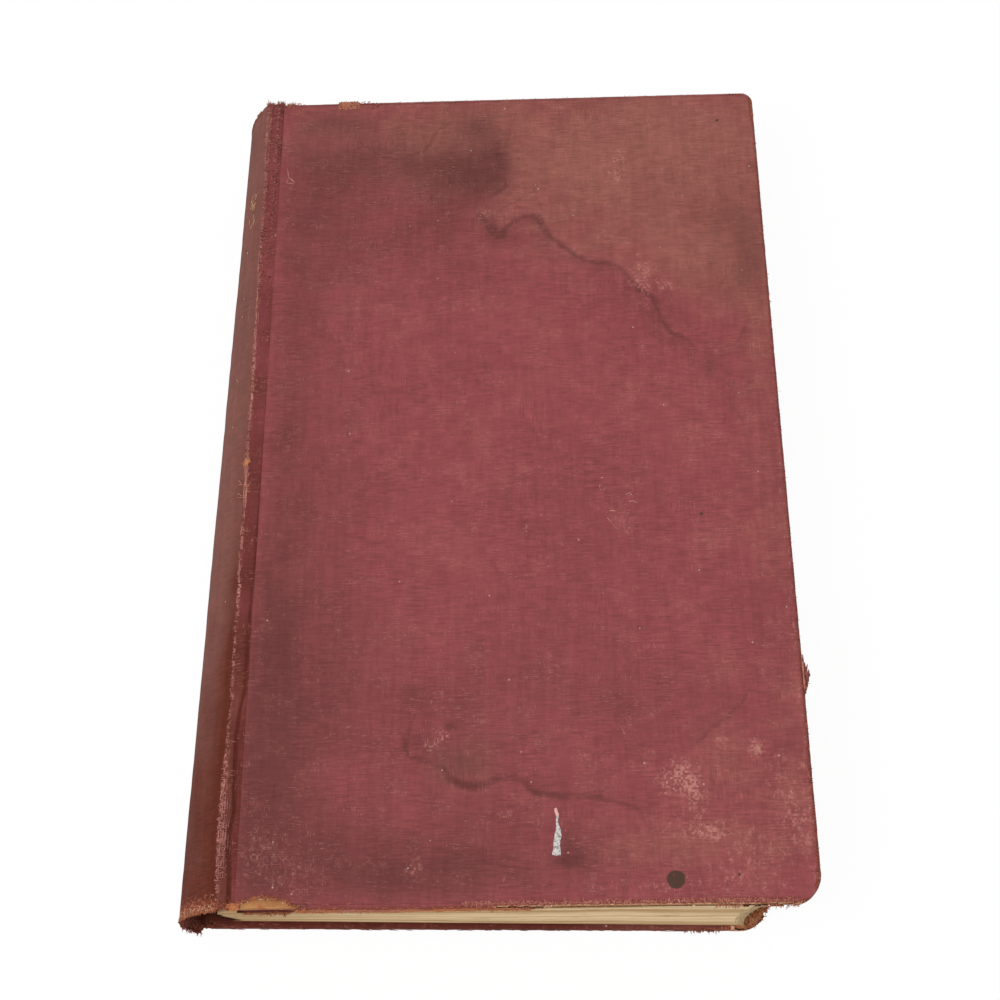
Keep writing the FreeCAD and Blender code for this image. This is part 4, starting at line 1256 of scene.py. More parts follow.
# The loose threads of one piece, gathered group by group
class Threads:
    def __init__(self, seed):
        self.chance = np.random.default_rng(seed)
        self.groups = []

    # Places whose lengths each way are drawn from a range, or stand fixed
    def spread(self, count, *lengths):
        return np.stack([
            self.chance.uniform(*part, count) if isinstance(part, tuple) else np.broadcast_to(part, count)
            for part in lengths
        ], 1)

    # Threads that lie on the cloth, from their middles, headings and lengths
    def lying(self, across, y, heading, length, lift=0.05, wander=0.12):
        t = np.linspace(-0.5, 0.5, THREAD_POINTS)
        count = len(across)
        heading, length = np.broadcast_to(heading, count)[:, None], np.broadcast_to(length, count)[:, None]
        sway = wander * length * self.chance.normal(0, 1, (count, 1)) * np.cos(
            2 * np.pi * t + self.chance.uniform(0, 6, (count, 1)))
        along = length * t
        at_x = np.asarray(across)[:, None] + along * np.cos(heading) - sway * np.sin(heading)
        at_y = np.asarray(y)[:, None] + along * np.sin(heading) + sway * np.cos(heading)
        return on_case(at_x, at_y, lift + 0.03 * self.chance.uniform(-1, 1, (count, 1)))

    # Threads that stand out, from their roots, directions and lengths
    def standing(self, roots, heading, length, curl=0.5):
        t = np.linspace(-0.15, 1, THREAD_POINTS)[None, :, None]
        count = len(roots)
        heading = np.broadcast_to(np.asarray(heading, float), (count, 3)) + 0.0
        heading /= np.linalg.norm(heading, axis=1, keepdims=True)
        length = np.broadcast_to(length, count)[:, None, None]
        bend = self.chance.normal(0, curl, (count, 1, 3))
        return np.asarray(roots)[:, None] + heading[:, None] * length * t + bend * length * t ** 2

    # Adds lines with their thickness and their shades of light, tan, grey and gilt, each drawn from
    # one value to another
    def add(self, lines, radius, light, tan=(0, 0), grey=(0, 0), gilt=(0, 0), shown=slice(None)):
        shades = np.stack([self.chance.uniform(*part, len(lines)) for part in (light, tan, grey, gilt)], 1)
        self.groups.append((lines[shown], radius, shades[shown]))
        return shades

    # A row of loose ends: how many, where they come out, which way they point, how far they reach, how
    # thick they are and their shades
    def fringe(self, count, places, heading, reach, radius, *shades, curl=0.5):
        roots = self.spread(count, *places)
        self.add(self.standing(roots, heading, self.chance.uniform(*reach, count), curl), radius, *shades)

    # One mesh of all the lines, each a square tube that tapers at its ends
    def tie(self, name):
        groups = self.groups
        lines = np.concatenate([group[0] for group in groups])
        radius = np.concatenate([np.broadcast_to(group[1], len(group[0])) for group in groups])
        tones = np.concatenate([group[2] for group in groups])
        heading = np.gradient(lines, axis=1)
        heading /= np.maximum(np.linalg.norm(heading, axis=-1, keepdims=True), 1e-9)
        up = np.where(np.abs(heading[..., 2:]) > 0.9, np.array([0.0, 1.0, 0.0]), np.array([0.0, 0.0, 1.0]))
        beside = np.cross(heading, up)
        beside /= np.linalg.norm(beside, axis=-1, keepdims=True)
        over = np.cross(beside, heading)
        width = radius[:, None, None] * np.array([0.5, 0.9, 1.0, 0.85, 0.35])[None, :, None]
        corners = np.stack([lines + beside * width, lines + over * width * 0.8, lines - beside * width,
                            lines - over * width * 0.8], 2)
        number = np.arange(len(lines) * THREAD_POINTS * 4).reshape(len(lines), THREAD_POINTS, 4)
        after = np.roll(number, -1, axis=2)
        sides = np.stack([number[:, :-1], after[:, :-1], after[:, 1:], number[:, 1:]], -1).reshape(-1, 4)
        ends = np.concatenate([number[:, 0, ::-1], number[:, -1]])
        mesh = bpy.data.meshes.new(name)
        mesh.from_pydata(to_frame(corners.reshape(-1, 3)).tolist(), [],
                         np.concatenate([sides, ends]).tolist())
        place = mesh.attributes.new("place", "FLOAT_VECTOR", "POINT")
        place.data.foreach_set("vector", corners.astype(np.float32).ravel())
        wear = mesh.attributes.new("wear", "FLOAT_COLOR", "POINT")
        tone = np.repeat(tones[:, None], THREAD_POINTS * 4, 1)
        wear.data.foreach_set("color", tone.astype(np.float32).ravel())
        mesh.polygons.foreach_set("use_smooth", [True] * len(mesh.polygons))
        piece = bpy.data.objects.new(name, mesh)
        bpy.context.scene.collection.objects.link(piece)
        piece.data.materials.append(bare_cotton)
        return piece


def joint_threads():
    bundle = Threads(101)
    chance = bundle.chance
    # Two rows of zigzag at the head, where the weave of the strip is laid bare
    for middle, reach in ((-3.25, 0.95), (-1.2, 0.85)):
        y = np.arange(158, 209.4, 0.42)
        shown = chance.uniform(0, 1, len(y)) < np.interp(y, (158, 172, 186, 210), (0.05, 0.35, 0.8, 0.95))
        y = y[shown] + chance.normal(0, 0.08, shown.sum())
        turn = np.where(chance.uniform(0, 1, len(y)) < 0.7, 0.65, -0.6) + chance.normal(0, 0.2, len(y))
        across = middle + chance.normal(0, 0.14, len(y))
        lines = bundle.lying(across, y, turn, chance.uniform(0.6, 1.15, len(y)) * reach, 0.16)
        shade = bundle.add(lines, 0.105, (0.25, 1.0))
        shade[:, 0] *= np.interp(y, (158, 185, 210), (0.55, 0.9, 1.0))
    y = 210 - 58 * chance.uniform(0, 1, 330) ** 1.3
    lines = bundle.lying(chance.uniform(-4.3, -0.2, 330), y, chance.normal(0, 0.35, 330),
                         chance.uniform(0.3, 0.9, 330), 0.13)
    bundle.add(lines, 0.08, (0.0, 0.7))
    # Worn spots down the ridge
    y = chance.uniform(2, 209, 1500)
    y = y[chance.uniform(0.12, 1.05, 1500) < np.interp(y, RIDGE_WEAR_STATIONS, RIDGE_WEAR)]
    ridge = np.interp(y, RIDGE_STATIONS, RIDGE_LINE)
    across = ridge + chance.normal(0.12, 0.2, len(y))
    lines = bundle.lying(across, y, chance.normal(0, 0.3, len(y)), chance.uniform(0.25, 0.9, len(y)), 0.12)
    bundle.add(lines, 0.085, (0.2, 1.0), (0, 0.15))
    for low, high, count, length in ((94, 103, 22, 3.0), (136, 151, 10, 3.6), (24, 30, 8, 1.8),
                                     (66, 92, 14, 2.0)):
        y = chance.uniform(low, high, count)
        across = np.interp(y, RIDGE_STATIONS, RIDGE_LINE) + chance.normal(0.15, 0.2, count)
        lines = bundle.lying(across, y, math.pi / 2 + chance.normal(0, 0.06, count), length, 0.14, 0.03)
        bundle.add(lines, 0.10, (0.7, 1.0), (0.0, 0.2))
    at = np.array([(-4.9, 99.6), (-4.7, 98.9), (-4.9, 96.2), (-4.6, 95.5), (-2.9, 98.4), (-2.8, 96.8),
                   (-2.9, 101.0)])
    lines = bundle.lying(at[:, 0], at[:, 1], np.array([2.5, 2.9, 3.4, 3.0, 0.5, 0.1, 0.7]), 1.5, 0.3, 0.25)
    bundle.add(lines, 0.11, (0.8, 1.0), (0.2, 0.5))
    lines = bundle.lying(-3.55 + chance.normal(0, 0.3, 34), 104.6 + chance.normal(0, 0.45, 34),
                         chance.uniform(0, 6.3, 34), chance.uniform(0.5, 1.2, 34), 0.25, 0.4)
    bundle.add(lines, 0.12, (0.9, 1.0), (0.4, 0.9))
    # Cross threads in the worn strip, on the pitch of the weave
    for low, high, left, count, length in ((6, 29, -4.1, 190, 1.7), (30, 36, -4.0, 20, 0.9),
                                           (148, 157, -3.6, 26, 1.9)):
        y = np.round(chance.uniform(low, high, count) / THREAD_PITCH) * THREAD_PITCH
        across = left + chance.uniform(0.1, 1.8, count) * np.interp(y, (6, 14, 29), (1, 0.9, 0.35))
        lines = bundle.lying(across, y, chance.normal(0, 0.05, count),
                             chance.uniform(0.3, 1.0, count) * length, 0.12, 0.03)
        bundle.add(lines, 0.07, (0.2, 0.8))
    y = chance.uniform(7, 24, 110)
    across = np.round(chance.uniform(-4.3, -2.2, 110) / THREAD_PITCH) * THREAD_PITCH
    lines = bundle.lying(across, y, math.pi / 2, chance.uniform(0.5, 1.8, 110), 0.12, 0.03)
    bundle.add(lines, 0.08, (0.4, 1.0))
    # Frayed head end
    bundle.fringe(150, ((-4.5, 0.3), 209.7, (24.1, 24.8)), (0, 1, 0.25), (0.3, 1.0), 0.085, (0.0, 0.8),
                  (0, 0.2))
    return bundle.tie("joint_threads")


def front_threads():
    bundle = Threads(102)
    chance = bundle.chance
    # Over and under the bare board at the tail
    x = chance.uniform(0.2, 14, 210)
    y = np.interp(x, BARE_STATIONS, BARE_LIMIT) + chance.normal(0.1, 0.16, 210)
    lines = bundle.lying(x, y, -math.pi / 2 + chance.normal(0, 0.7, 210), chance.uniform(0.3, 0.95, 210),
                         0.04)
    bundle.add(lines, 0.09, (0.0, 0.4), (0.0, 0.7))
    x = 1.0 + 10.8 * chance.uniform(0, 1, 250)
    roots = bundle.spread(250, x, (-0.05, 0.3), (21.3, 22.3))
    reach = np.interp(x, (1, 2.5, 4, 6.5, 8, 10, 11.8), (0.5, 1.3, 0.8, 1.9, 1.2, 1.5, 0.4))
    lines = bundle.standing(roots, (0.1, -0.12, -1), reach * chance.uniform(0.15, 1.0, 250), 0.26)
    bundle.add(lines, 0.10, (0.0, 0.35), (0.1, 0.9))
    x = chance.uniform(-1.3, 1.0, 90)
    lines = bundle.lying(x, chance.uniform(0.15, 1.5, 90), chance.normal(0, 0.6, 90),
                         chance.uniform(0.3, 1.0, 90), 0.06)
    bundle.add(lines, 0.11, (0.2, 0.9), (0.5, 1.0))
    # Bared threads along the tail edge
    for low, high, count, light, tan in ((12, 30, 120, (0.1, 0.9), (0.3, 1.0)),
                                         (20, 34, 70, (0.5, 1.0), (0, 0.3)),
                                         (30, 60, 170, (0.1, 0.8), (0.3, 1.0))):
        roots = bundle.spread(count, (low, high), (-0.04, 0.04), (21.9, 24.0))
        lines = bundle.standing(roots, (1, 0, -0.02), chance.uniform(1.0, 5.0, count), 0.03)
        bundle.add(lines, 0.075, light, tan)
        roots[:, 2] = chance.uniform(21.6, 23.0, count)
        lines = bundle.standing(roots, (0, -0.05, -1), chance.uniform(0.3, 1.0, count), 0.2)
        bundle.add(lines, 0.07, light, tan)
    x = chance.uniform(48, 118, 480)
    lines = bundle.lying(x, 0.9 + chance.normal(0, 0.24, 480), -math.pi / 2 + chance.normal(0, 0.8, 480),
                         chance.uniform(0.3, 0.9, 480), 0.0)
    bundle.add(lines, 0.08, (0.5, 1.0), (0.0, 0.5))
    for low, high, count in ((101, 106, 60), (111.5, 118, 50), (58, 62, 16)):
        bundle.fringe(count, ((low, high), (0.0, 0.5), (23.4, 24.5)), (0, -0.5, -0.8), (0.3, 1.0), 0.08,
                      (0.3, 1.0), (0.1, 0.7), curl=0.4)
    # Fore edge: a frayed place, and short ends all the way up
    y = chance.uniform(45.5, 54.6, 130)
    roots = bundle.spread(130, 122.85, y, (22.0, 24.5))
    heading = np.stack([np.ones(130), chance.normal(0, 0.6, 130), chance.normal(0, 0.3, 130)], 1)
    reach = np.interp(y, (45.5, 48, 51, 54.6), (0.3, 1.0, 0.7, 0.25))
    bundle.add(bundle.standing(roots, heading, reach * chance.uniform(0.5, 1.0, 130)), 0.10, (0.0, 0.7),
               (0, 0.3))
    # The torn lip there has rolled outward
    y = chance.uniform(45.5, 52.5, 110)
    outer = np.interp(y, (45.5, 47.5, 49.5, 50.6, 52.5), (0.4, 1.0, 1.7, 0.8, 0.5))
    roots = np.stack([122.7 + outer * chance.uniform(0, 1, 110), y, chance.uniform(23.2, 24.6, 110)], 1)
    bundle.add(bundle.standing(roots, (0.02, 1, 0), chance.uniform(0.8, 2.2, 110), 0.05), 0.19, (0.2, 0.5))
    bundle.fringe(34, ((122.8, 123.05), (46.5, 51.5), (24.7, 24.95)), (-0.03, 1, 0), (0.8, 2.6), 0.09,
                  (1.0, 1.0), (0.2, 0.5), curl=0.03)
    y = chance.uniform(8, 206, 420)
    bundle.fringe(420, (122.9, y, (22.4, 24.3)), (1, 0, 0.3), (0.08, 0.3), 0.05, (0.1, 0.8), (0, 0.3),
                  curl=0.6)
    # Head edge: a bare patch with spikes, and the frayed corner by the spine
    x = chance.uniform(14.6, 20, 170)
    lines = bundle.lying(x, 209.9 - 2.2 * chance.uniform(0, 1, 170) ** 1.4, chance.uniform(-0.9, 0.9, 170),
                         chance.uniform(0.4, 1.1, 170))
    bundle.add(lines, 0.12, (0.3, 1.0), (0.0, 0.7))
    x = chance.uniform(14.4, 26, 90)
    lines = bundle.lying(x, 210 - 2.4 * chance.uniform(0, 1, 90), chance.uniform(-0.9, 0.9, 90), 0.6, 0.08)
    bundle.add(lines, 0.09, (0.0, 0.8), (0.0, 0.4))
    bundle.fringe(90, ((14.4, 20), 209.8, (23.8, 24.6)), (0, 1, 0.3), (0.1, 0.6), 0.10, (0.0, 0.8),
                  (0.0, 0.9))
    x = chance.uniform(0.4, 5.5, 60)
    lines = bundle.lying(x, 209.9 - 4.6 * chance.uniform(0, 1, 60) ** 2, chance.normal(0, 0.8, 60),
                         chance.uniform(0.3, 0.9, 60))
    bundle.add(lines, 0.07, (0.4, 1.0), (0.0, 0.7))
    bundle.fringe(40, ((0.2, 3.0), 209.8, (24.1, 24.7)), (0, 1, 0.3), (0.2, 0.7), 0.08, (0.0, 0.8),
                  (0.0, 0.4))
    bundle.fringe(200, ((20, 122), 209.9, (23.6, 24.6)), (0, 1, 0.3), (0.06, 0.25), 0.05, (0.1, 0.8),
                  (0.0, 0.3))
    # Scratches: fibres pulled up out of the weave, one short run after the other
    runs = (
        ((1.7, 189.3), (2.2, 187.4), (2.4, 185.9)), ((2.4, 186.2), (3.2, 185.6), (4.1, 184.5)),
        ((2.4, 186.0), (2.0, 185.2), (1.8, 184.6)), ((1.8, 184.6), (3.0, 184.4), (4.2, 184.2)),
        ((81.6, 90.1), (82.4, 90.2), (83.3, 90.1)), ((80.9, 88.6), (81.8, 87.6), (82.2, 87.0)),
        ((82.2, 87.0), (83.0, 85.9), (84.4, 85.0)), ((85.4, 94.2), (86.6, 94.6), (87.3, 93.6)),
        ((86.2, 92.3), (87.0, 92.6), (88.2, 92.0)),
        ((80.2, 95.5), (80.9, 95.7), (81.1, 96.4)), ((80.2, 97.0), (79.6, 96.6), (79.7, 95.9)),
        ((79.7, 95.9), (79.8, 95.6), (80.2, 95.5)), ((80.0, 98.5), (80.2, 98.6), (80.4, 98.6)),
    )
    t = np.linspace(0, 1, THREAD_POINTS)
    lines = np.array([[np.interp(t, (0, 0.5, 1), way) for way in np.transpose(run)] for run in runs])
    lines = lines.transpose(0, 2, 1)
    bundle.add(on_case(lines[..., 0], lines[..., 1], 0.03), 0.17, (0.6, 1.0))
    # Bare patches: middle, half widths and number of threads
    patches = (
        (87.2, 187.4, 1.6, 1.4, 26), (86.8, 179.5, 1.8, 2.4, 34), (111.2, 33.4, 1.3, 1.5, 34),
        (92.5, 8.6, 1.6, 1.0, 18), (75, 30.8, 2.4, 1.5, 22), (95, 27.6, 1.8, 2.6, 40),
        (98, 23.6, 1.4, 3.4, 44), (41, 36.5, 1.8, 2.2, 24), (57.4, 19.4, 1.6, 0.5, 14),
        (76, 161, 1.5, 1.2, 22), (8, 11, 6.5, 6.0, 150), (4, 19, 3.0, 6.0, 60), (15, 7, 5.5, 3.5, 80),
        (84, 8, 4.5, 3.6, 80), (92.4, 1.9, 1.0, 0.9, 16), (75.5, 5, 1.2, 3.0, 24), (84, 89, 3.0, 4.0, 26),
    )
    for x, y, half_x, half_y, count in patches:
        level = chance.uniform(0, 1, count) < 0.5
        at_x = x + chance.normal(0, half_x * 0.6, count)
        at_y = np.maximum(y + chance.normal(0, half_y * 0.6, count), 1.0)
        at_x = np.where(level, at_x, np.round(at_x / THREAD_PITCH) * THREAD_PITCH)
        at_y = np.where(level, np.round(at_y / THREAD_PITCH) * THREAD_PITCH, at_y)
        shown = (np.abs(at_x - 7) > 6) | (at_y > 4.2)
        lines = bundle.lying(at_x, at_y, np.where(level, 0.0, math.pi / 2), chance.uniform(0.3, 1.2, count),
                             0.0, 0.02)
        light = (0.45, 0.62) if y < 20 and count > 50 else (0.5, 0.95)
        bundle.add(lines, 0.05, light, shown=shown)
    specks = np.array((
        (62.7, 26.5), (19.9, 128.7), (7.6, 14.3), (75.3, 172.5), (96.8, 162.2), (89.1, 139.2), (43.5, 29.4),
        (60.6, 33.2), (87.5, 61.2), (36.5, 8.4), (80.3, 98.7), (34.0, 170.4), (113.5, 120.4), (66.0, 182.0),
        (101.5, 75.0),
    ))
    lines = bundle.lying(specks[:, 0], specks[:, 1], 0.4, 0.42, 0.02)
    bundle.add(lines, 0.17, (1, 1), (0, 0.2), (0.4, 1.0))
    return bundle.tie("front_cover_threads")


def spine_threads():
    bundle = Threads(103)
    chance = bundle.chance
    # Crumbled tail end, seen from above, then the torn lower part of it
    across = -4.0 - 13 * chance.uniform(0, 1, 460)
    roots = on_case(across, np.abs(chance.normal(0.1, 0.35, 460)), chance.uniform(-0.5, 0.02, 460))
    outward = on_case(across, np.full(460, 0.1), 1.0) - on_case(across, np.full(460, 0.1), 0.0)
    heading = outward * chance.uniform(0, 0.9, (460, 1)) + np.array([0, -1.0, 0])
    bundle.add(bundle.standing(roots, heading, chance.uniform(0.1, 0.45, 460), 0.5), 0.09, (0.0, 0.6),
               (0.0, 1.0))
    across = -33.4 + 14 * chance.uniform(0, 1, 260) ** 1.6
    roots = on_case(across, np.abs(chance.normal(0.1, 0.4, 260)), chance.uniform(-0.9, 0.0, 260))
    bundle.add(bundle.standing(roots, (0.5, -1, 0.1), chance.uniform(0.1, 0.8, 260), 0.6), 0.10,
               (0.0, 0.35), (0.0, 0.1))
    across = -4.1 - 7 * chance.uniform(0, 1, 150)
    roots = on_case(across, np.full(150, 209.9), chance.uniform(-0.4, 0.0, 150))
    bundle.add(bundle.standing(roots, (0, 1, 0.2), chance.uniform(0.06, 0.3, 150), 0.5), 0.06, (0.0, 0.6),
               (0.0, 0.2))
    # Worn gilt, of which only flecks are left, and bits of fluff
    across = chance.uniform(-9.6, -7.0, 22)
    y = chance.uniform(173, 183, 22)
    lines = bundle.lying(across, y, chance.normal(1.2, 0.25, 22), chance.uniform(0.5, 2.0, 22), 0.05, 0.03)
    bundle.add(lines, 0.10, (0.6, 1.0), (0, 0.3), (0, 0), (0.6, 1.0))
    at = np.array([(-9.4, 166), (-9.0, 152), (-9.4, 147), (-9.8, 129), (-8.8, 128), (-9.9, 116),
                   (-7.2, 70)])
    bundle.add(bundle.lying(at[:, 0], at[:, 1], 1.0, 0.5, 0.02), 0.14, (0.8, 1.0), (0.1, 0.4), (0.1, 0.6))
    return bundle.tie("spine_threads")


def back_threads():
    bundle = Threads(104)
    chance = bundle.chance
    # Worn corner at the tail of the fore edge, and the rim beside it
    roots = on_cover(bundle.spread(90, (104, 112), 0.05, (0.6, 3.3)), "back")
    bundle.add(bundle.standing(roots, (0.2, -1, 0.1), chance.uniform(0.1, 0.5, 90), 0.4), 0.08, (0.0, 0.3),
               (0.0, 0.4))
    turn = chance.uniform(-1.45, 0.1, 260)
    reach = 6.5 * chance.uniform(0.3, 0.98, 260) ** 0.4
    roots = on_cover(np.stack([116.5 + reach * np.cos(turn), 6.5 + reach * np.sin(turn),
                               np.full(260, 3.35)], -1), "back")
    heading = bundle.spread(260, np.cos(turn), np.sin(turn), (0, 0.5))
    bundle.add(bundle.standing(roots, heading, chance.uniform(0.1, 0.6, 260), 0.4), 0.10, (0.0, 0.5),
               (0.0, 1.0))
    x = chance.uniform(2, 108, 150)
    roots = on_cover(bundle.spread(150, x, 0.02, (0.5, 3.0)), "back")
    bundle.add(bundle.standing(roots, (1, -0.04, 0.0), chance.uniform(0.5, 2.4, 150), 0.05), 0.06,
               (0.0, 0.5), (0.0, 0.2))
    return bundle.tie("back_cover_threads")


bare_cotton = thread_finish()
threads = joint_threads()
bend_with_cover(threads, "front")
threads = front_threads()
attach(threads, "front_cover")
threads = spine_threads()
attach(threads, "book_block")
threads = back_threads()
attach(threads, "back_cover")


# Scrap: a torn sliver of grey paper with a reddened tip, which has stuck to the front cover near the
# tail and rides with it.
SCRAP_OUTLINE = (
    (67.5, 20.6), (68.0, 20.9), (68.5, 19.4), (68.2, 17.8), (68.8, 16.1), (69.0, 14.8), (68.5, 12.8),
    (68.8, 10.8), (67.8, 10.6), (66.9, 10.8), (67.2, 13.1), (67.4, 14.8), (67.9, 16.4), (67.8, 18.7),
)


def scrap_finish():
    paper = Finish("scrap_paper")
    place = paper.stored("place").outputs["Vector"]
    y = paper.split(place)[1]
    flecks = paper.grain(place, (0.45, 0.45, 0.45), 3.0, 0.7)
    colour = paper.mixed(paper.steps(flecks, 0.42, 0.62), rgb(0.62, 0.58, 0.55), rgb(0.24, 0.20, 0.19))
    tip = paper.steps(paper.sum("MULTIPLY_ADD", flecks, 0.8, y), 19.2, 19.8)
    colour = paper.mixed(tip, colour, rgb(0.70, 0.40, 0.36))
    return paper.lay_on(colour, 0.9, paper.bump(flecks, 0.04))


def stuck_scrap():
    outline = np.array(SCRAP_OUTLINE)
    chance = np.random.default_rng(105)
    onward = np.roll(outline, -1, 0) - outline
    outline = np.stack([outline + onward * share + chance.normal(0, 0.05, outline.shape)
                        for share in (0, 0.33, 0.67)], 1).reshape(-1, 2)
    layers = []
    for inset, lift in ((0.0, -0.05), (0.0, 0.10), (0.12, 0.13)):
        middle_x = np.interp(outline[:, 1], (10.8, 16, 21), (67.9, 68.3, 67.9))
        at_x = outline[:, 0] + (middle_x - outline[:, 0]) * inset
        layers.append(on_case(at_x, outline[:, 1], np.full(len(outline), lift)))
    rings = np.array(layers)
    rings = np.concatenate([rings, rings[:, :1]], 1)
    grid = {"points": rings, "place": rings, "turned": True}
    return close_ends(join_grids("paper_scrap", [grid]), ragged=True)


scrap = stuck_scrap()
scrap.data.materials.append(scrap_finish())
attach(scrap, "front_cover")


# Endpapers: one folded sheet at each end. One half is pasted over the turn-ins and across the joint,
# the other is tipped to the block as the flyleaf. Both are browned at their edges; near the spine they
# carry near-black painted shade of the hollow.
PASTEDOWN_MARGIN = 3.5
PASTEDOWN_PAPER = 0.14
FLYLEAF_PAPER = 0.12


def endpaper_finish():
    paper = Finish("endpaper")
    place = paper.stored("place").outputs["Vector"]
    clouds = paper.grain(place, (24, 30, 20), 3.0)
    foxing = paper.grain(place, (1.8, 1.8, 2.0), 3.0, 0.6)
    fibres = paper.grain(place, (0.25, 0.5, 0.3), 2.0)
    browned = paper.stored("wear").outputs["Alpha"]
    colour = paper.mixed(paper.steps(clouds, 0.3, 0.7), rgb(0.60, 0.46, 0.29), rgb(0.70, 0.565, 0.385))
    toned = paper.sway(clouds, 0.7, browned)
    colour = paper.stain(colour, toned, 0.2, 1.0, rgb(0.40, 0.25, 0.12), 0.85)
    colour = paper.stain(colour, foxing, 0.68, 0.8, rgb(0.36, 0.17, 0.07), 0.55)
    # Near-black painted shade of the hollow where the sheet turns in by the spine
    gutter_shade = paper.split(paper.stored("wear").outputs["Color"])[0]
    colour = paper.stain(colour, gutter_shade, 0.2, 0.8, rgb(0.055, 0.006, 0.004), 0.96)
    return paper.lay_on(colour, 0.88, paper.bump(fibres, 0.04, paper.bump(clouds, 0.3)), gloss=0.04)


def browned_edges_and_gutter_shade(x, y, low_x, high_x, low_y, high_y):
    gap = np.minimum(np.minimum(x - low_x, high_x - x), np.minimum(y - low_y, high_y - y))
    wear = np.zeros(x.shape + (4,))
    wear[..., 3] = bell(np.clip(gap, 0, None), 7)
    # Red: painted shade of the hollow, near the spine fold
    wear[..., 0] = np.clip((3.0 - x) / 4.0, 0, 1)
    return wear


def pastedown(side):
    high_x = COVER_WIDTH - PASTEDOWN_MARGIN
    flat = spaced(((high_x - 1.0, 1.5),))[::-1] + 1.0
    rows = PASTEDOWN_MARGIN + spaced(((COVER_HEIGHT - 2 * PASTEDOWN_MARGIN, 1.6),))
    y, x = np.meshgrid(rows, flat, indexing="ij")
    inner = np.minimum(np.minimum(x + 40, COVER_WIDTH - x), np.minimum(y, COVER_HEIGHT - y))
    sunk = 0.34 * np.clip((inner - TURN_IN - 1.0) / 2.4, 0, 1)
    depth = COVER_THICKNESS + 0.10 - sunk
    bend_x = np.array([0.4, 0.02, -0.14, -0.2, -0.3, -0.9, -1.6, -2.3, -2.9])
    bend_depth = np.array([3.48, 3.3, 2.6, 1.6, 0.95, 0.85, 0.8, 0.8, 0.82])
    bent_y, bent_x = np.meshgrid(rows, bend_x, indexing="ij")
    pressed = np.clip(groove_at(bent_x, bent_y) - 0.2, 0, 1) * (bent_x < -0.25)
    bent_depth = np.repeat(bend_depth[None], len(rows), 0) + pressed
    whole_x = np.concatenate([x, bent_x], 1)
    whole_y = np.concatenate([y, bent_y], 1)
    whole_depth = np.concatenate([depth, bent_depth], 1)
    points = on_cover(np.stack([whole_x, whole_y, whole_depth], -1), side)
    wear = browned_edges_and_gutter_shade(whole_x, whole_y, 0.0, high_x, PASTEDOWN_MARGIN, COVER_HEIGHT - PASTEDOWN_MARGIN)
    skin = {"points": points, "place": np.stack([whole_x, whole_y, 0 * whole_y], -1), "wear": wear}
    return thick_sheet(side + "_pastedown_paper", skin, PASTEDOWN_PAPER, 1 if side == "front" else -1)


def flyleaf(side):
    front = side == "front"
    rows = LEAF_TAIL + spaced(((LEAF_HEAD - LEAF_TAIL, 1.6),))
    flat = LEAF_BACK + spaced(((LEAF_FORE - LEAF_BACK, 1.6),))[::-1]
    y, x = np.meshgrid(rows, flat, indexing="ij")
    sheet_z = BLOCK_TOP + 0.03 if front else BLOCK_BOTTOM - 0.03
    lift = 0.05 * patchy(x, y, 16, 91 if front else 92) + 0.05
    z = sheet_z + (lift if front else -lift)
    if front:
        stub_x = np.array([0.9, -0.2, -1.2, -2.0, -2.7])
        stub_z = np.array([21.2, 21.9, 22.8, 23.5, 24.0])
        lean = 0 * rows
    else:
        stub_x = np.array([-0.4, -2.4, -4.4, -5.6, -6.4, -7.0, -7.5])
        stub_z = np.array([3.92, 3.9, 3.86, 3.7, 3.0, 2.2, 1.5])
        lean = block_lean(rows)
    bent_y, bent_x = np.meshgrid(rows, stub_x, indexing="ij")
    bent_z = np.repeat(stub_z[None], len(rows), 0)
    whole_x = np.concatenate([x, bent_x], 1) - lean[:, None]
    whole_y = np.concatenate([y, bent_y], 1)
    whole_z = np.concatenate([z, bent_z], 1)
    if not front:
        whole_y = whole_y + LEAF_SLIP - LEAF_TURN * whole_x
    wear = browned_edges_and_gutter_shade(whole_x + lean[:, None], whole_y, -8.0, LEAF_FORE, LEAF_TAIL, LEAF_HEAD)
    points = np.stack([whole_x, whole_y, whole_z], -1)
    skin = {"points": points, "place": np.stack([whole_x, whole_y, 0 * whole_y], -1), "wear": wear}
    return thick_sheet(side + "_flyleaf_paper", skin, FLYLEAF_PAPER, 1 if front else -1)


endpaper = endpaper_finish()
for side in ("front", "back"):
    pasted = pastedown(side)
    pasted.data.materials.append(endpaper)
    bend_with_cover(pasted, side)
    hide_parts(side + "_pastedown")
    free = flyleaf(side)
    free.data.materials.append(endpaper)
    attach(free, "book_block")
    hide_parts(side + "_flyleaf")


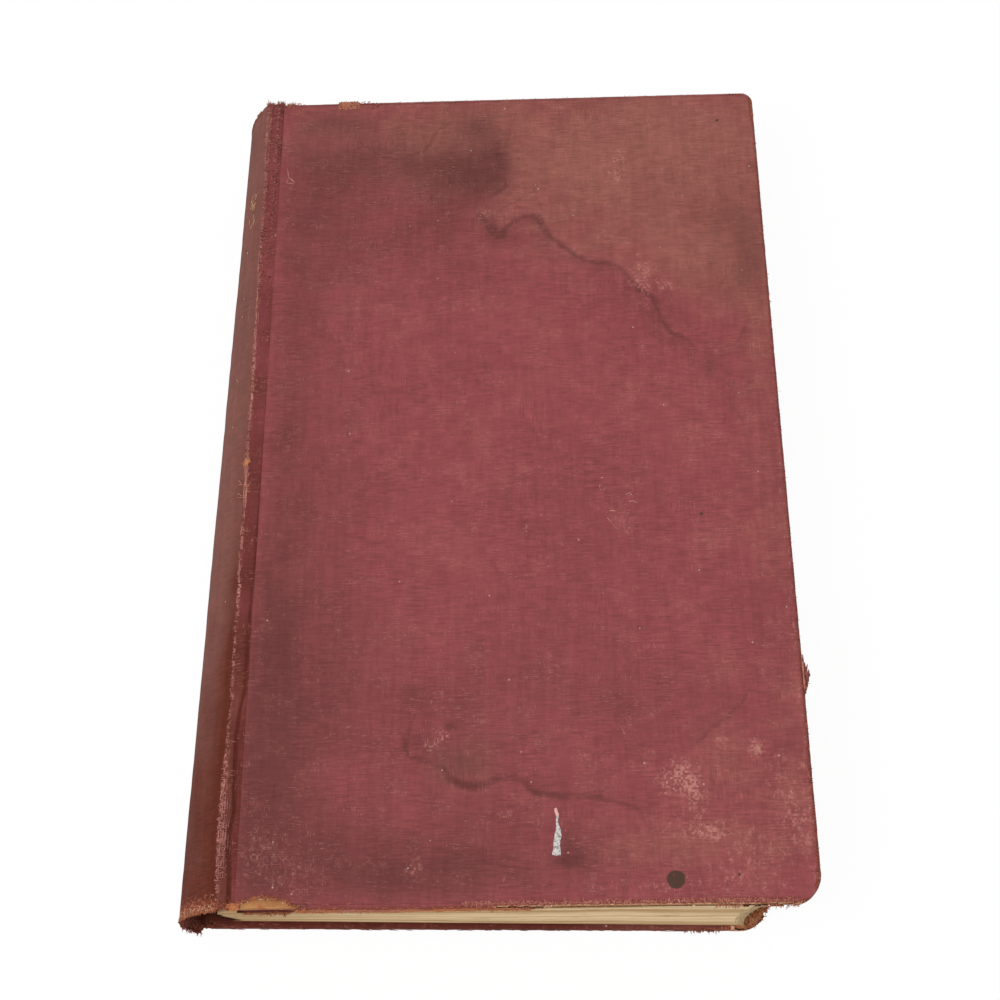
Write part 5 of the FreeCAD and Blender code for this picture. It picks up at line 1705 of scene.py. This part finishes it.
# Floor and light: a white sheet under a big soft lamp, in an evenly lit white room. They belong to
# the picture and not to the book.
floor_mesh = bpy.data.meshes.new("floor")
floor_mesh.from_pydata([(-3, -3, 0), (3, -3, 0), (3, 3, 0), (-3, 3, 0)], [], [(0, 1, 2, 3)])
floor = bpy.data.objects.new("floor", floor_mesh)
floor.location.z = -0.0001
bpy.context.scene.collection.objects.link(floor)
paper_sweep = Finish("paper_sweep")
rays = paper_sweep.node("ShaderNodeLightPath", {}).outputs
seen = paper_sweep.sum("MAXIMUM", rays["Is Camera Ray"], rays["Is Glossy Ray"])
seen = paper_sweep.sum("MAXIMUM", seen, rays["Is Transmission Ray"])
paper_sweep.shader.inputs["Base Color"].default_value = rgb(0.93, 0.93, 0.93)
paper_sweep.shader.inputs["Roughness"].default_value = 0.9
glow = paper_sweep.node("ShaderNodeEmission", {"Color": rgb(1, 1, 1), "Strength": 1.0})
share = paper_sweep.times(seen, 0.95)
lit = paper_sweep.node("ShaderNodeMixShader", {
    0: share, 1: paper_sweep.shader.outputs[0], 2: glow.outputs[0],
})
paper_sweep.tree.links.new(lit.outputs[0], paper_sweep.tree.nodes["Material Output"].inputs["Surface"])
floor_mesh.materials.append(paper_sweep.material)

world = bpy.data.worlds.new("white_room")
world.use_nodes = True
bpy.context.scene.world = world
room = world.node_tree
background = room.nodes["Background"]
background.inputs["Color"].default_value = rgb(1, 1, 1)
room_rays = room.nodes.new("ShaderNodeLightPath").outputs
shown = room.nodes.new("ShaderNodeMath")
shown.operation = "MAXIMUM"
room.links.new(room_rays["Is Camera Ray"], shown.inputs[0])
room.links.new(room_rays["Is Transmission Ray"], shown.inputs[1])
strength = room.nodes.new("ShaderNodeMapRange")
strength.inputs["To Min"].default_value = 0.62
strength.inputs["To Max"].default_value = 1.0
room.links.new(shown.outputs[0], strength.inputs["Value"])
room.links.new(strength.outputs[0], background.inputs["Strength"])

lamp_data = bpy.data.lights.new("soft_lamp", "AREA")
lamp_data.shape = "DISK"
lamp_data.size = 0.9
lamp_data.energy = 9.0
lamp = bpy.data.objects.new("soft_lamp", lamp_data)
lamp.location = (-0.45, -0.35, 1.1)
lamp.rotation_euler = (math.radians(18), math.radians(-22), 0)
bpy.context.scene.collection.objects.link(lamp)

bpy.context.scene.view_settings.view_transform = "Standard"
